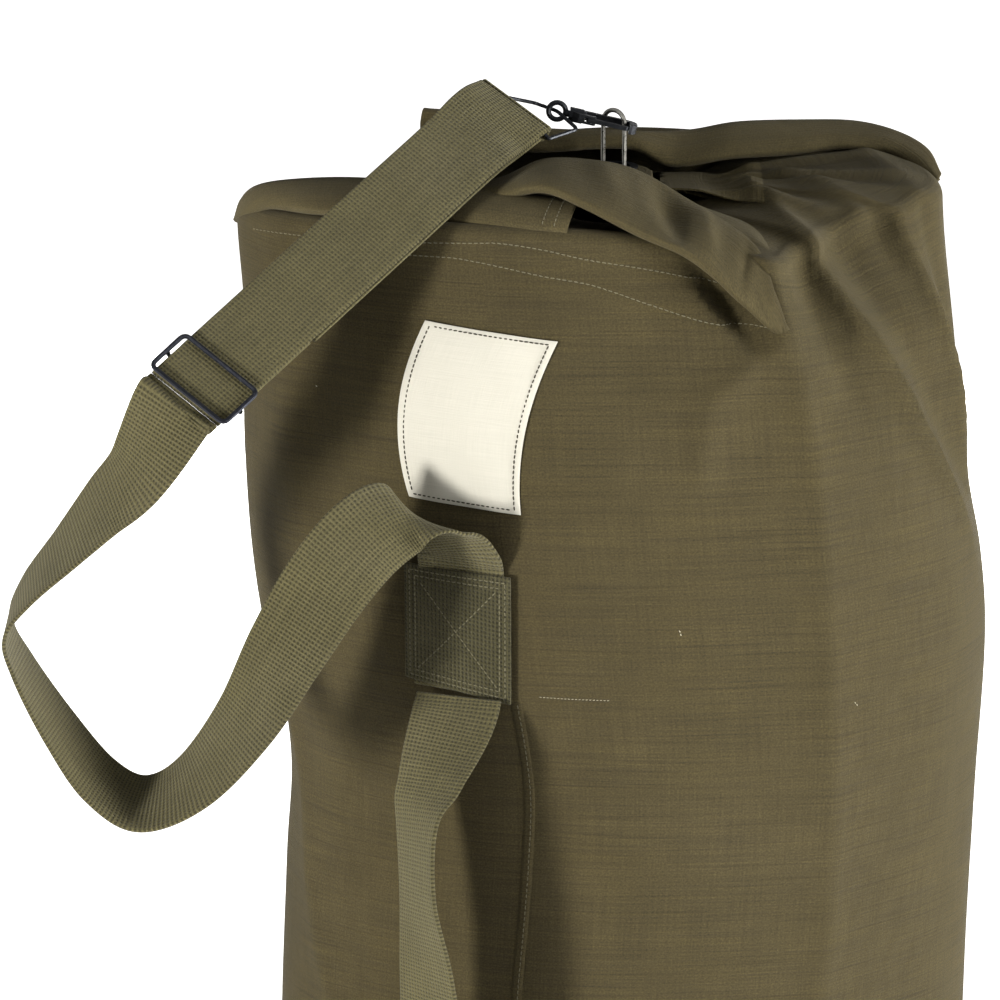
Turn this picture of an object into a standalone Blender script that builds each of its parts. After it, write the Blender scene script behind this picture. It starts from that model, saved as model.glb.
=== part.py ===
"""A canvas duffel bag that stands upright, its mouth folded in over a wire staple and held by the strap's snap hook.

Units are metres, +Z is up and the origin is the centre of the flat base. The front of the bag, with its label,
patch and handle, faces -Y. The shoulder strap rises from the patch, hangs as a loop past the left side (-X), and
runs doubled over the left front shoulder to the hook.
"""

import math

import bmesh
import bpy
from mathutils import Matrix, Vector

# ---------------------------------------------------------------- driving dimensions
MM = 0.001
GAP = 0.3 * MM                  # clearance between pieces that touch
SEWN_GAP = 0.9 * MM             # clearance of a flat sewn piece over the curved wall
CANVAS = 2.0 * MM               # wall of the canvas, doubled and stuffed
WEB_WIDTH = 50 * MM             # webbing of the strap and the handle
WEB_THICK = 2.2 * MM
BASE_THICK = 5 * MM
RIM_Z = 0.7955                  # top edge of the body canvas
BAND_DEPTH = 0.055              # doubled band inside the mouth

# Oval of the bag at a few heights: height, centre x, half width, half depth
OVALS = (
    (0.0053, 0.008, 0.186, 0.136),
    (0.030, 0.008, 0.196, 0.144),
    (0.330, 0.008, 0.199, 0.149),
    (0.470, 0.013, 0.200, 0.150),
    (0.560, 0.008, 0.209, 0.150),
    (0.660, -0.002, 0.208, 0.146),
    (0.745, -0.006, 0.204, 0.130),
    (0.7955, -0.010, 0.201, 0.106),
)
TUBE_SIDES = 44

FOLD_LEVELS = {"back": 0.8060, "left": 0.8112, "right": 0.8164, "front": 0.8216}
FOLD_ANGLES = {"back": 90, "left": 180, "right": 0, "front": -90}
TONGUE_HALF = 22 * MM           # half width of each fold where it lies over the staple
TONGUE_REACH = 18 * MM          # how far it reaches past the staple
SEAM_GAP = 1.6 * MM             # gap between neighbouring folds

GROMMET_BORE = 9.6 * MM
GROMMET_BARREL = 11.5 * MM
GROMMET_FLANGE = 14 * MM
FLANGE_THICK = 0.9 * MM

STAPLE_WIRE = 1.5 * MM          # radius
STAPLE_LEG = Vector((0.006, -0.0043, 0))
STAPLE_TOP = 0.8568

# Snap hook: its frame has its origin at the swivel eye, +X to the nose and +Z through the flat of the hook
HOOK_EYE = Vector((-0.0325, -0.0065, 0.8575))
HOOK_PITCH = math.radians(13)
HOOK_HALF_THICK = 2.5 * MM
GATE_PIVOT = Vector((19 * MM, -5.6 * MM, 0))
GATE_HALF_THICK = 1.2 * MM
GATE_TIP = 41.6 * MM
PIN_RADIUS = 0.8 * MM
STUD_RADIUS = 2.0 * MM
EYE_RING = 4.9 * MM
EYE_WIRE = 1.5 * MM

# Doubled run of the strap: straight from the slider to where it bends over to the hook
RUN_LOW = Vector((-0.2262, -0.188, 0.7424))
RUN_HIGH = Vector((-0.0857, -0.074, 0.8510))
RUN_ALONG = (RUN_HIGH - RUN_LOW).normalized()
RUN_ACROSS = Vector((0.745, -0.445, -0.497))
RUN_ACROSS = (RUN_ACROSS - RUN_ACROSS.dot(RUN_ALONG) * RUN_ALONG).normalized()
RUN_FACE = RUN_ACROSS.cross(RUN_ALONG).normalized()
STRAP_TOP = Vector((-0.057, -0.030, 0.865))
TOP_ACROSS = Vector((0.89, -0.11, -0.44)).normalized()
STRAP_BEND = Vector((-0.0699, -0.051, 0.8606))
UNDER_DROP = 8.5 * MM           # from the front layer to the under layer
END_WIDTH = 47 * MM             # the turn over the wire and the sewn end are pulled in a little
END_REACH = 60 * MM             # length of the strap's end sewn round the slider bar
SLIDER_HALF_LONG = 27.2 * MM
SLIDER_HALF_SHORT = 13.6 * MM
SLIDER_WIRE = 1.45 * MM
LOOP_WIRE = 1.1 * MM

PARTS = "duffel_bag"
CUTTERS = "cutters"


# ---------------------------------------------------------------- scene and materials
def clear_scene():
    for item in list(bpy.data.objects):
        bpy.data.objects.remove(item)
    for name in (PARTS, CUTTERS):
        collection = bpy.data.collections.new(name)
        bpy.context.scene.collection.children.link(collection)


def material(name, colour, roughness, metallic=0.0):
    made = bpy.data.materials.get(name)
    if made is None:
        made = bpy.data.materials.new(name)
        made.use_nodes = True
        shader = made.node_tree.nodes["Principled BSDF"]
        shader.inputs["Base Color"].default_value = (*colour, 1.0)
        shader.inputs["Roughness"].default_value = roughness
        shader.inputs["Metallic"].default_value = metallic
    return made


def canvas():
    return material("olive_canvas", (0.080, 0.068, 0.036), 0.9)


def webbing_cloth():
    return material("olive_webbing", (0.085, 0.078, 0.040), 0.92)


def black_metal():
    return material("black_metal", (0.016, 0.017, 0.020), 0.4, 0.8)


def plated_wire():
    return material("plated_wire", (0.55, 0.53, 0.48), 0.25, 1.0)


def place(data, name, surface, collection=PARTS):
    placed = bpy.data.objects.new(name, data)
    placed.data.materials.append(surface)
    bpy.data.collections[collection].objects.link(placed)
    return placed


# ---------------------------------------------------------------- shape helpers
def between(table, height):
    """Row of the table at this height, found by straight lines between its rows."""
    for low, high in zip(table, table[1:]):
        if height <= high[0]:
            share = max(0.0, (height - low[0]) / (high[0] - low[0]))
            return [a + (b - a) * share for a, b in zip(low[1:], high[1:])]
    return list(table[-1][1:])


def wall_point(angle, height, offset=0.0):
    """Point on the bag's oval wall at this angle, moved outward by the offset."""
    centre, half_width, half_depth = between(OVALS, height)
    outward = Vector((math.cos(angle) / half_width, math.sin(angle) / half_depth, 0)).normalized()
    flat = Vector((centre + half_width * math.cos(angle), half_depth * math.sin(angle), height))
    return flat + outward * offset


def front_point(x, height, offset=0.0):
    """Point on the front wall at this x."""
    centre, half_width, _ = between(OVALS, height)
    angle = -math.acos(max(-1.0, min(1.0, (x - centre) / half_width)))
    return wall_point(angle, height, offset)


def mesh_from(name, points, faces):
    mesh = bpy.data.meshes.new(name)
    mesh.from_pydata([tuple(p) for p in points], [], faces)
    mesh.update()
    return mesh


def grid_mesh(name, rows, closed=False):
    """Open surface through rows of points of equal count."""
    count = len(rows[0])
    spans = count if closed else count - 1
    faces = []
    for i in range(len(rows) - 1):
        for j in range(spans):
            k = (j + 1) % count
            faces.append((i * count + j, i * count + k, (i + 1) * count + k, (i + 1) * count + j))
    return mesh_from(name, [p for row in rows for p in row], faces)


def thicken(made, thickness, side):
    solid = made.modifiers.new("thickness", "SOLIDIFY")
    solid.thickness = thickness
    solid.offset = side
    solid.use_even_offset = True
    return made


def smooth_path(points, steps):
    """Points on a smooth curve through these points, each a tuple of vectors that are blended alike."""
    padded = [points[0]] + list(points) + [points[-1]]
    path = []
    for i in range(1, len(padded) - 2):
        for step in range(steps):
            t = step / steps
            blended = []
            for a, b, c, d in zip(padded[i - 1], padded[i], padded[i + 1], padded[i + 2]):
                bend = (2 * a - 5 * b + 4 * c - d) * t * t + (3 * b - a - 3 * c + d) * t * t * t
                blended.append(0.5 * (2 * b + (c - a) * t + bend))
            path.append(blended)
    path.append(list(points[-1]))
    return path


def ribbon(name, stations, steps, width=WEB_WIDTH):
    """Flat webbing along stations of (centre, direction across the webbing)."""
    path = smooth_path(stations, steps) if steps > 1 else stations
    rings = []
    for i, (centre, across) in enumerate(path):
        ahead = path[min(i + 1, len(path) - 1)][0] - path[max(i - 1, 0)][0]
        ahead.normalize()
        side = (across - across.dot(ahead) * ahead).normalized()
        face = side.cross(ahead)
        half_w = side * width / 2
        half_t = face * WEB_THICK / 2
        rings.append([centre - half_w - half_t, centre + half_w - half_t,
                      centre + half_w + half_t, centre - half_w + half_t])
    mesh = grid_mesh(name, rings, closed=True)
    shape = bmesh.new()
    shape.from_mesh(mesh)
    bmesh.ops.holes_fill(shape, edges=[e for e in shape.edges if e.is_boundary], sides=4)
    bmesh.ops.recalc_face_normals(shape, faces=shape.faces)
    shape.to_mesh(mesh)
    shape.free()
    return place(mesh, name, webbing_cloth())


def wire(name, points, radius, surface, cyclic=False, sides=2):
    curve = bpy.data.curves.new(name, "CURVE")
    curve.dimensions = "3D"
    curve.bevel_depth = radius
    curve.bevel_resolution = sides
    curve.use_fill_caps = not cyclic
    spline = curve.splines.new("POLY")
    spline.points.add(len(points) - 1)
    for target, point in zip(spline.points, points):
        target.co = (*point, 1.0)
    spline.use_cyclic_u = cyclic
    return place(curve, name, surface)


def disc(name, radius, depth, centre, surface, sides=32, axis="Z", collection=PARTS):
    """Cylinder about an axis of its own frame."""
    shape = bmesh.new()
    turn = {"Z": Matrix.Identity(4), "X": Matrix.Rotation(math.pi / 2, 4, "Y"),
            "Y": Matrix.Rotation(math.pi / 2, 4, "X")}[axis]
    bmesh.ops.create_cone(shape, cap_ends=True, segments=sides, radius1=radius, radius2=radius,
                          depth=depth, matrix=Matrix.Translation(centre) @ turn)
    mesh = bpy.data.meshes.new(name)
    shape.to_mesh(mesh)
    shape.free()
    return place(mesh, name, surface, collection)


def box(name, low, high, surface, collection=PARTS):
    shape = bmesh.new()
    bmesh.ops.create_cube(shape, size=1.0)
    size = Vector(high) - Vector(low)
    bmesh.ops.scale(shape, vec=size, verts=shape.verts)
    bmesh.ops.translate(shape, vec=(Vector(high) + Vector(low)) / 2, verts=shape.verts)
    mesh = bpy.data.meshes.new(name)
    shape.to_mesh(mesh)
    shape.free()
    return place(mesh, name, surface, collection)


def plate(name, outline, half_thick, surface, collection=PARTS):
    """Flat plate with this outline, counted anticlockwise."""
    count = len(outline)
    points = [(x, y, -half_thick) for x, y in outline] + [(x, y, half_thick) for x, y in outline]
    faces = [tuple(reversed(range(count))), tuple(range(count, 2 * count))]
    for i in range(count):
        j = (i + 1) % count
        faces.append((i, j, count + j, count + i))
    return place(mesh_from(name, points, faces), name, surface, collection)


def combine(target, cutter, operation):
    """Boolean of a target with a cutter, which is hidden."""
    step = target.modifiers.new(operation.lower(), "BOOLEAN")
    step.operation = operation
    step.solver = "EXACT"
    step.object = cutter
    cutter.hide_render = True
    cutter.display_type = "WIRE"
    return target


def turned(name, profile, surface, sides=28):
    """Closed profile of (radius, height), outer side running down, turned about the staple's vertical axis."""
    edges = [(i, (i + 1) % len(profile)) for i in range(len(profile))]
    mesh = bpy.data.meshes.new(name)
    mesh.from_pydata([(r, 0, z) for r, z in profile], edges, [])
    made = place(mesh, name, surface)
    screw = made.modifiers.new("turn", "SCREW")
    screw.steps = sides
    screw.render_steps = sides
    screw.use_merge_vertices = True
    screw.merge_threshold = 0.00001
    return made


# ---------------------------------------------------------------- canvas body
def body_shell():
    heights = [row[0] for row in OVALS] + [0.15, 0.24, 0.40, 0.515, 0.61, 0.70]
    rows = []
    for height in sorted(heights):
        rows.append([wall_point(2 * math.pi * i / TUBE_SIDES, height) for i in range(TUBE_SIDES)])
    made = place(grid_mesh("body_shell", rows, closed=True), "body_shell", canvas())
    thicken(made, CANVAS, -1)


def bottom_panel():
    rim = [wall_point(2 * math.pi * i / TUBE_SIDES, 0.0053) for i in range(TUBE_SIDES)]
    mesh = plate("bottom_panel", [(p.x, p.y) for p in rim], BASE_THICK / 2, canvas())
    mesh.location.z = BASE_THICK / 2
    rounded = mesh.modifiers.new("edge", "BEVEL")
    rounded.width = 1.5 * MM
    rounded.segments = 2


def mouth_facing():
    low = RIM_Z - BAND_DEPTH
    rows = []
    for height in (low, OVALS[-2][0], RIM_Z - GAP):
        rows.append([wall_point(2 * math.pi * i / TUBE_SIDES, height, -CANVAS - GAP)
                     for i in range(TUBE_SIDES)])
    made = place(grid_mesh("mouth_facing", rows, closed=True), "mouth_facing", canvas())
    thicken(made, 1.2 * MM, -1)


def side_seam():
    rows = []
    for height in (0.030, 0.15, 0.24, 0.33, 0.40, 0.47, 0.54):
        rows.append([front_point(-0.053 + x * MM, height, GAP) for x in (-6, 0, 6)])
    made = place(grid_mesh("side_seam", rows), "side_seam", canvas())
    thicken(made, 1.0 * MM, 1)


def wall_patch(name, corners, offset, thick, surface, splits=6):
    """Sheet on the front wall between four (x, height) corners: lower left, lower right, upper right, upper left."""
    lower_left, lower_right, upper_right, upper_left = [Vector(c) for c in corners]
    rows = []
    for i in range(splits + 1):
        left = lower_left.lerp(upper_left, i / splits)
        right = lower_right.lerp(upper_right, i / splits)
        row = [left.lerp(right, j / splits) for j in range(splits + 1)]
        rows.append([front_point(p.x, p.y, offset) for p in row])
    made = place(grid_mesh(name, rows), name, surface)
    return thicken(made, thick, 1)


def patches():
    label_cloth = material("cream_cotton", (0.74, 0.71, 0.62), 0.9)
    wall_patch("label", ((-0.1155, 0.661), (-0.053, 0.6555), (-0.033, 0.7505), (-0.106, 0.759)),
               SEWN_GAP, 0.8 * MM, label_cloth, 10)
    cover = SEWN_GAP + GAP + WEB_THICK
    wall_patch("strap_patch", ((-0.116, 0.553), (-0.058, 0.548), (-0.058, 0.621), (-0.117, 0.626)),
               cover, WEB_THICK, webbing_cloth())
    wall_patch("handle_lower_patch", ((-0.128, 0.165), (-0.070, 0.165), (-0.070, 0.233), (-0.128, 0.233)),
               cover, WEB_THICK, webbing_cloth())
    wall_patch("strap_sewn_end", ((-0.112, 0.590), (-0.063, 0.587), (-0.063, 0.617), (-0.112, 0.622)),
               SEWN_GAP, WEB_THICK, webbing_cloth(), 4)
    wall_patch("handle_upper_end", ((-0.112, 0.5535), (-0.063, 0.5535), (-0.063, 0.586), (-0.112, 0.589)),
               SEWN_GAP, WEB_THICK, webbing_cloth(), 4)
    wall_patch("handle_lower_end", ((-0.124, 0.175), (-0.074, 0.175), (-0.074, 0.232), (-0.124, 0.232)),
               SEWN_GAP, WEB_THICK, webbing_cloth(), 4)


# ---------------------------------------------------------------- folded mouth and its closure
def fold_rows(angle_deg, level):
    """Rows of a fold from the rim to its tongue: the lower surface of the cloth."""
    half_across = 9
    centre, half_width, half_depth = OVALS[-1][1:]
    toward = Vector((math.cos(math.radians(angle_deg)), math.sin(math.radians(angle_deg)), 0))
    across = Vector((-toward.y, toward.x, 0))
    rim_z = RIM_Z + GAP
    rim, waist = [], []
    for j in range(2 * half_across + 1):
        t = j / half_across - 1
        turn = math.radians(angle_deg + 45 * t)
        rim.append(Vector((centre + half_width * math.cos(turn), half_depth * math.sin(turn), rim_z)))
        waist.append(toward * TONGUE_HALF + across * TONGUE_HALF * t + Vector((0, 0, level)))
    rows = []
    for i in range(4):
        row = []
        for start, end in zip(rim, waist):
            point = start.lerp(end, i / 3)
            row.append(point)
        edge = (row[-1] - row[0]).normalized() * SEAM_GAP / 2
        row[0] = row[0] + edge
        row[-1] = row[-1] - edge
        rows.append(row)
    for reach in (0.0, TONGUE_REACH):
        rows.append([p - toward * (TONGUE_HALF + reach) for p in rows[3]])
    return rows


def top_folds():
    for side, level in FOLD_LEVELS.items():
        name = "top_fold_" + side
        made = place(grid_mesh(name, fold_rows(FOLD_ANGLES[side], level)), name, canvas())
        thicken(made, CANVAS, 1)
        if side == "back":
            for sign in (-1, 1):
                leg = sign * STAPLE_LEG + Vector((0, 0, level))
                cutter = disc("leg_hole", STAPLE_WIRE + GAP, 0.012, leg, canvas(), 16, "Z", CUTTERS)
                combine(made, cutter, "DIFFERENCE")
            continue
        hole = disc("grommet_hole", GROMMET_BARREL + GAP, 0.012, (0, 0, level), canvas(), 28, "Z", CUTTERS)
        combine(made, hole, "DIFFERENCE")
        grommet(side, level)


def grommet(side, level):
    top = level + CANVAS + GAP / 2
    low = level - GAP / 2 - FLANGE_THICK
    profile = [(GROMMET_BORE, top + FLANGE_THICK), (GROMMET_FLANGE, top + FLANGE_THICK),
               (GROMMET_FLANGE, top), (GROMMET_BARREL, top), (GROMMET_BARREL, low), (GROMMET_BORE, low)]
    turned("grommet_" + side, profile, black_metal())
    ring = [(GROMMET_BARREL + GAP, low + FLANGE_THICK), (GROMMET_FLANGE, low + FLANGE_THICK),
            (GROMMET_FLANGE, low), (GROMMET_BARREL + GAP, low)]
    turned("grommet_washer_" + side, ring, black_metal())


def staple():
    level = FOLD_LEVELS["back"]
    reach = STAPLE_LEG.length
    outward = STAPLE_LEG.normalized()
    foot_z = level - 3.3 * MM
    crown = STAPLE_TOP - reach
    points = [-outward * (reach + 9 * MM) + Vector((0, 0, foot_z))]
    points.append(-outward * (reach + 1 * MM) + Vector((0, 0, foot_z)))
    points.append(-outward * reach + Vector((0, 0, foot_z + 1 * MM)))
    for i in range(13):
        turn = math.pi * (1 - i / 12)
        points.append(outward * reach * math.cos(turn) + Vector((0, 0, crown + reach * math.sin(turn))))
    points.append(outward * reach + Vector((0, 0, foot_z + 1 * MM)))
    points.append(outward * (reach + 1 * MM) + Vector((0, 0, foot_z)))
    points.append(outward * (reach + 9 * MM) + Vector((0, 0, foot_z)))
    wire("staple_wire", points, STAPLE_WIRE, plated_wire(), sides=3)
    for name, low in (("staple_plate", level + CANVAS + GAP), ("staple_washer", level - GAP - 1.2 * MM)):
        made = disc(name, 12 * MM, 1.2 * MM, (0, 0, low + 0.6 * MM), plated_wire())
        for sign in (-1, 1):
            spot = sign * STAPLE_LEG + Vector((0, 0, low))
            cutter = disc("leg_hole", STAPLE_WIRE + GAP, 0.012, spot, canvas(), 16, "Z", CUTTERS)
            combine(made, cutter, "DIFFERENCE")


# ---------------------------------------------------------------- snap hook
def on_hook(made):
    """Puts a piece that is drawn in the hook's own frame into place."""
    made.location = HOOK_EYE
    made.rotation_euler = (0, HOOK_PITCH, 0)
    return made


def mm(points):
    return [(x * MM, y * MM) for x, y in points]


def swivel_eye():
    ring = []
    for i in range(28):
        turn = 2 * math.pi * i / 28
        ring.append((EYE_RING * math.cos(turn), 0, EYE_RING * math.sin(turn)))
    loop = wire("eye_ring", ring, EYE_WIRE, black_metal(), cyclic=True)
    bpy.context.view_layer.update()
    drawn = loop.evaluated_get(bpy.context.evaluated_depsgraph_get())
    mesh = bpy.data.meshes.new_from_object(drawn)
    shape = bmesh.new()
    shape.from_mesh(mesh)
    bmesh.ops.remove_doubles(shape, verts=shape.verts, dist=0.000001)
    shape.to_mesh(mesh)
    shape.free()
    bpy.data.objects.remove(loop)
    eye = on_hook(place(mesh, "hook_eye", black_metal()))
    length = 12.0 * MM
    stud = disc("stud", STUD_RADIUS, length, (4.6 * MM + length / 2, 0, 0), black_metal(), 24, "X", CUTTERS)
    combine(eye, on_hook(stud), "UNION")
    washer = disc("stud_washer", 3.3 * MM, 0.9 * MM, (15.75 * MM, 0, 0), black_metal(), 24, "X")
    bore = disc("washer_bore", STUD_RADIUS + 0.1 * MM, 4 * MM, (15.75 * MM, 0, 0), black_metal(), 24, "X",
                CUTTERS)
    combine(on_hook(washer), on_hook(bore), "DIFFERENCE")


def hook_body():
    outline = [(9, -4.2), (12.5, -7.4), (21.5, -7.4), (22.6, -5.6), (21.5, -3.8), (17, -3.8), (15, -3.6),
               (15, 3.4), (17, 4.4), (40, 4.4), (41.4, 3.8), (42, 2.4), (42, -7.0), (43.6, -7.4),
               (45.6, -5.6), (46.5, -2), (46.5, 2), (45.6, 5.2), (43.4, 7.4), (41, 7.8), (15, 7.6), (9, 4.2)]
    made = on_hook(plate("hook_body", mm(outline), HOOK_HALF_THICK, black_metal()))
    socket = disc("socket", 4.2 * MM, 8 * MM, (11 * MM, 0, 0), black_metal(), 24, "X", CUTTERS)
    bore = disc("bore", STUD_RADIUS + 0.1 * MM, 14 * MM, (11 * MM, 0, 0), black_metal(), 24, "X", CUTTERS)
    slot = box("gate_slot", (15.3 * MM, -9 * MM, -1.5 * MM), (24 * MM, -3 * MM, 1.5 * MM), black_metal(),
               CUTTERS)
    hole = disc("pin_hole", PIN_RADIUS + 0.1 * MM, 8 * MM, GATE_PIVOT, black_metal(), 16, "Z", CUTTERS)
    combine(made, on_hook(socket), "UNION")
    for cutter in (bore, slot, hole):
        combine(made, on_hook(cutter), "DIFFERENCE")


def hook_gate():
    outline = []
    for i in range(9):
        turn = math.radians(125 + 110 * i / 8)
        outline.append((19 + 1.9 * math.cos(turn), -5.6 + 1.9 * math.sin(turn)))
    tip = GATE_TIP / MM
    outline += [(19, -7.2), (tip - 1, -6.9), (tip, -6.2), (tip, -4.8), (tip - 0.8, -4.3), (19, -4.0)]
    shifted = [(x - GATE_PIVOT.x / MM, y - GATE_PIVOT.y / MM) for x, y in outline]
    made = plate("hook_gate", mm(shifted), GATE_HALF_THICK, black_metal())
    bore = disc("gate_bore", PIN_RADIUS + 0.1 * MM, 6 * MM, (0, 0, 0), black_metal(), 16, "Z", CUTTERS)
    turn = Matrix.Rotation(HOOK_PITCH, 4, "Y")
    for item in (made, bore):
        item.location = HOOK_EYE + turn @ GATE_PIVOT
        item.rotation_euler = (0, HOOK_PITCH, 0)
    combine(made, bore, "DIFFERENCE")
    on_hook(disc("gate_pin", PIN_RADIUS, 2 * HOOK_HALF_THICK, GATE_PIVOT, black_metal(), 16))
    leaf = [(15.8 * MM, -7.0 * MM, 0), (15.75 * MM, -6.2 * MM, 0), (15.9 * MM, -5.4 * MM, 0),
            (16.4 * MM, -4.3 * MM, 0)]
    on_hook(wire("gate_spring", leaf, 0.2 * MM, plated_wire()))


def strap_end_frame():
    """Where the strap turns over the wire: middle of the turn, and the directions ahead, across and outward."""
    ahead = (STRAP_TOP - STRAP_BEND).normalized()
    across = (TOP_ACROSS - TOP_ACROSS.dot(ahead) * ahead).normalized()
    face = across.cross(ahead).normalized()
    return STRAP_TOP - face * UNDER_DROP / 2 + ahead * 1.4 * MM, ahead, across, face


def strap_wire_loop():
    centre, ahead, across, face = strap_end_frame()
    half = across * (END_WIDTH / 2 + LOOP_WIRE + 2 * GAP)
    clear = (ahead * 0.6 - face * 0.8) * 9 * MM
    corners = [centre - half, centre + half, centre + half + clear * 0.5, Vector((-0.0210, -0.0195, 0.8495)),
               HOOK_EYE, Vector((-0.0450, 0.0045, 0.8600)), centre - half + clear]
    points = []
    for i, corner in enumerate(corners):
        before = (corners[i - 1] - corner).normalized()
        after = (corners[(i + 1) % len(corners)] - corner).normalized()
        points.append(corner + before * 2 * MM)
        points.append(corner + (before + after) * 0.6 * MM)
        points.append(corner + after * 2 * MM)
    wire("strap_wire_loop", points, LOOP_WIRE, black_metal(), cyclic=True)


# ---------------------------------------------------------------- shoulder strap
def strap_upper():
    bend_across = Vector((0.79, -0.16, -0.59)).normalized()
    low_end = RUN_LOW - RUN_ALONG * (SLIDER_HALF_SHORT + SLIDER_WIRE + GAP)
    front = [(low_end, RUN_ACROSS), (RUN_LOW.lerp(RUN_HIGH, 0.35), RUN_ACROSS),
             (RUN_LOW.lerp(RUN_HIGH, 0.7), RUN_ACROSS), (RUN_HIGH, RUN_ACROSS),
             (STRAP_BEND, bend_across), (STRAP_TOP, TOP_ACROSS)]
    ribbon("strap_front_run", front, 3)
    centre, ahead, across, face = strap_end_frame()
    drop = -RUN_FACE * UNDER_DROP
    under = [(RUN_LOW + RUN_ALONG * (END_REACH + 4 * MM) + drop, RUN_ACROSS),
             (RUN_LOW.lerp(RUN_HIGH, 0.7) + drop, RUN_ACROSS), (RUN_HIGH + drop, RUN_ACROSS),
             (STRAP_BEND + (drop - face * UNDER_DROP) / 2, bend_across),
             (STRAP_TOP - face * UNDER_DROP, TOP_ACROSS)]
    ribbon("strap_under_run", under, 3, END_WIDTH)
    turn_over = []
    for i in range(9):
        turn = math.pi * i / 8
        reach = UNDER_DROP / 2
        turn_over.append((centre + face * reach * math.cos(turn) + ahead * reach * math.sin(turn), across))
    ribbon("strap_top_fold", turn_over, 1, END_WIDTH)
    sewn = [(RUN_LOW + RUN_ALONG * share * END_REACH - RUN_FACE * 5.7 * MM, RUN_ACROSS)
            for share in (-0.07, 0.5, 1.0)]
    ribbon("strap_end", sewn, 1, END_WIDTH)


def strap_lower():
    """One loop of webbing, from the slider out past the left side and back up over to the patch."""
    start = SLIDER_HALF_SHORT + SLIDER_WIRE + 3 * GAP
    stations = [
        (RUN_LOW - RUN_ALONG * start, RUN_ACROSS),
        (RUN_LOW - RUN_ALONG * (start + 5 * MM), RUN_ACROSS),
        (RUN_LOW - RUN_ALONG * (start + 10 * MM), RUN_ACROSS),
        (Vector((-0.262, -0.205, 0.697)), Vector((0.62, -0.72, -0.28))),
        (Vector((-0.281, -0.201, 0.676)), Vector((0.48, -0.85, -0.20))),
        (Vector((-0.303, -0.198, 0.651)), Vector((0.30, -0.94, -0.12))),
        (Vector((-0.325, -0.196, 0.626)), Vector((0.14, -0.99, -0.05))),
        (Vector((-0.3355, -0.196, 0.605)), Vector((0.00, -1.00, 0.03))),
        (Vector((-0.328, -0.196, 0.583)), Vector((-0.14, -0.98, 0.05))),
        (Vector((-0.308, -0.197, 0.548)), Vector((-0.24, -0.96, -0.05))),
        (Vector((-0.286, -0.198, 0.518)), Vector((-0.26, -0.94, -0.18))),
        (Vector((-0.262, -0.200, 0.5055)), Vector((-0.06, -0.92, -0.36))),
        (Vector((-0.233, -0.205, 0.521)), Vector((0.30, -0.88, -0.34))),
        (Vector((-0.205, -0.205, 0.555)), Vector((0.55, -0.76, -0.33))),
        (Vector((-0.182, -0.200, 0.595)), Vector((0.74, -0.54, -0.38))),
        (Vector((-0.160, -0.192, 0.629)), Vector((0.82, -0.34, -0.46))),
        (Vector((-0.138, -0.181, 0.653)), Vector((0.84, -0.22, -0.50))),
        (Vector((-0.118, -0.167, 0.664)), Vector((0.88, -0.18, -0.42))),
        (Vector((-0.099, -0.153, 0.655)), Vector((0.95, -0.20, -0.22))),
        (Vector((-0.089, -0.1465, 0.640)), Vector((0.96, -0.26, -0.08))),
        (Vector((-0.0865, -0.1395, 0.6280)), Vector((0.95, -0.28, -0.04))),
    ]
    ribbon("strap_loop", stations, 3)


def slider():
    corner = 3.5 * MM
    points = []
    for sx, sy, start in ((1, 1, 0), (-1, 1, 90), (-1, -1, 180), (1, -1, 270)):
        for step in range(5):
            turn = math.radians(start + 90 * step / 4)
            along = sx * (SLIDER_HALF_SHORT - corner) + corner * math.cos(turn)
            across = sy * (SLIDER_HALF_LONG - corner) + corner * math.sin(turn)
            points.append(Vector((along, across, 0)))
    level = WEB_THICK / 2 + GAP + SLIDER_WIRE
    bar_radius = 1.25 * MM
    rounded = 1.2 * MM
    bar_level = -(WEB_THICK / 2 + GAP + bar_radius)
    ends = level - SLIDER_WIRE - GAP - bar_radius

    def to_world(p):
        return RUN_LOW + RUN_ALONG * p.x + RUN_ACROSS * p.y + RUN_FACE * p.z

    wire("slider_frame", [to_world(p + Vector((0, 0, level))) for p in points], SLIDER_WIRE,
         black_metal(), cyclic=True)
    half = SLIDER_HALF_LONG
    bar = [(-half, ends), (-half, bar_level + rounded), (-half + rounded, bar_level),
           (half - rounded, bar_level), (half, bar_level + rounded), (half, ends)]
    wire("slider_bar", [to_world(Vector((0, y, z))) for y, z in bar], bar_radius, black_metal())


def handle():
    """The handle leaves the patch flat, twists edge-on to the bag and turns back before its lower end."""
    stations = [
        (Vector((-0.088, -0.1475, 0.5515)), Vector((0.95, -0.28, 0.0))),
        (Vector((-0.092, -0.1560, 0.5380)), Vector((0.90, -0.40, -0.12))),
        (Vector((-0.1035, -0.172, 0.510)), Vector((0.62, -0.77, -0.10))),
        (Vector((-0.1110, -0.182, 0.490)), Vector((0.43, -0.90, -0.04))),
        (Vector((-0.1110, -0.190, 0.450)), Vector((0.40, -0.92, 0.0))),
        (Vector((-0.1065, -0.193, 0.410)), Vector((0.58, -0.81, 0.0))),
        (Vector((-0.1030, -0.191, 0.365)), Vector((0.72, -0.69, 0.0))),
        (Vector((-0.1000, -0.184, 0.300)), Vector((0.93, -0.36, 0.0))),
        (Vector((-0.0990, -0.166, 0.262)), Vector((0.95, -0.30, 0.0))),
        (Vector((-0.0990, -0.1495, 0.2385)), Vector((0.95, -0.30, 0.0))),
    ]
    ribbon("handle_webbing", stations, 4)


def build():
    clear_scene()
    body_shell()
    bottom_panel()
    mouth_facing()
    side_seam()
    patches()
    top_folds()
    staple()
    swivel_eye()
    hook_body()
    hook_gate()
    strap_wire_loop()
    strap_upper()
    strap_lower()
    slider()
    handle()


build()
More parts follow.
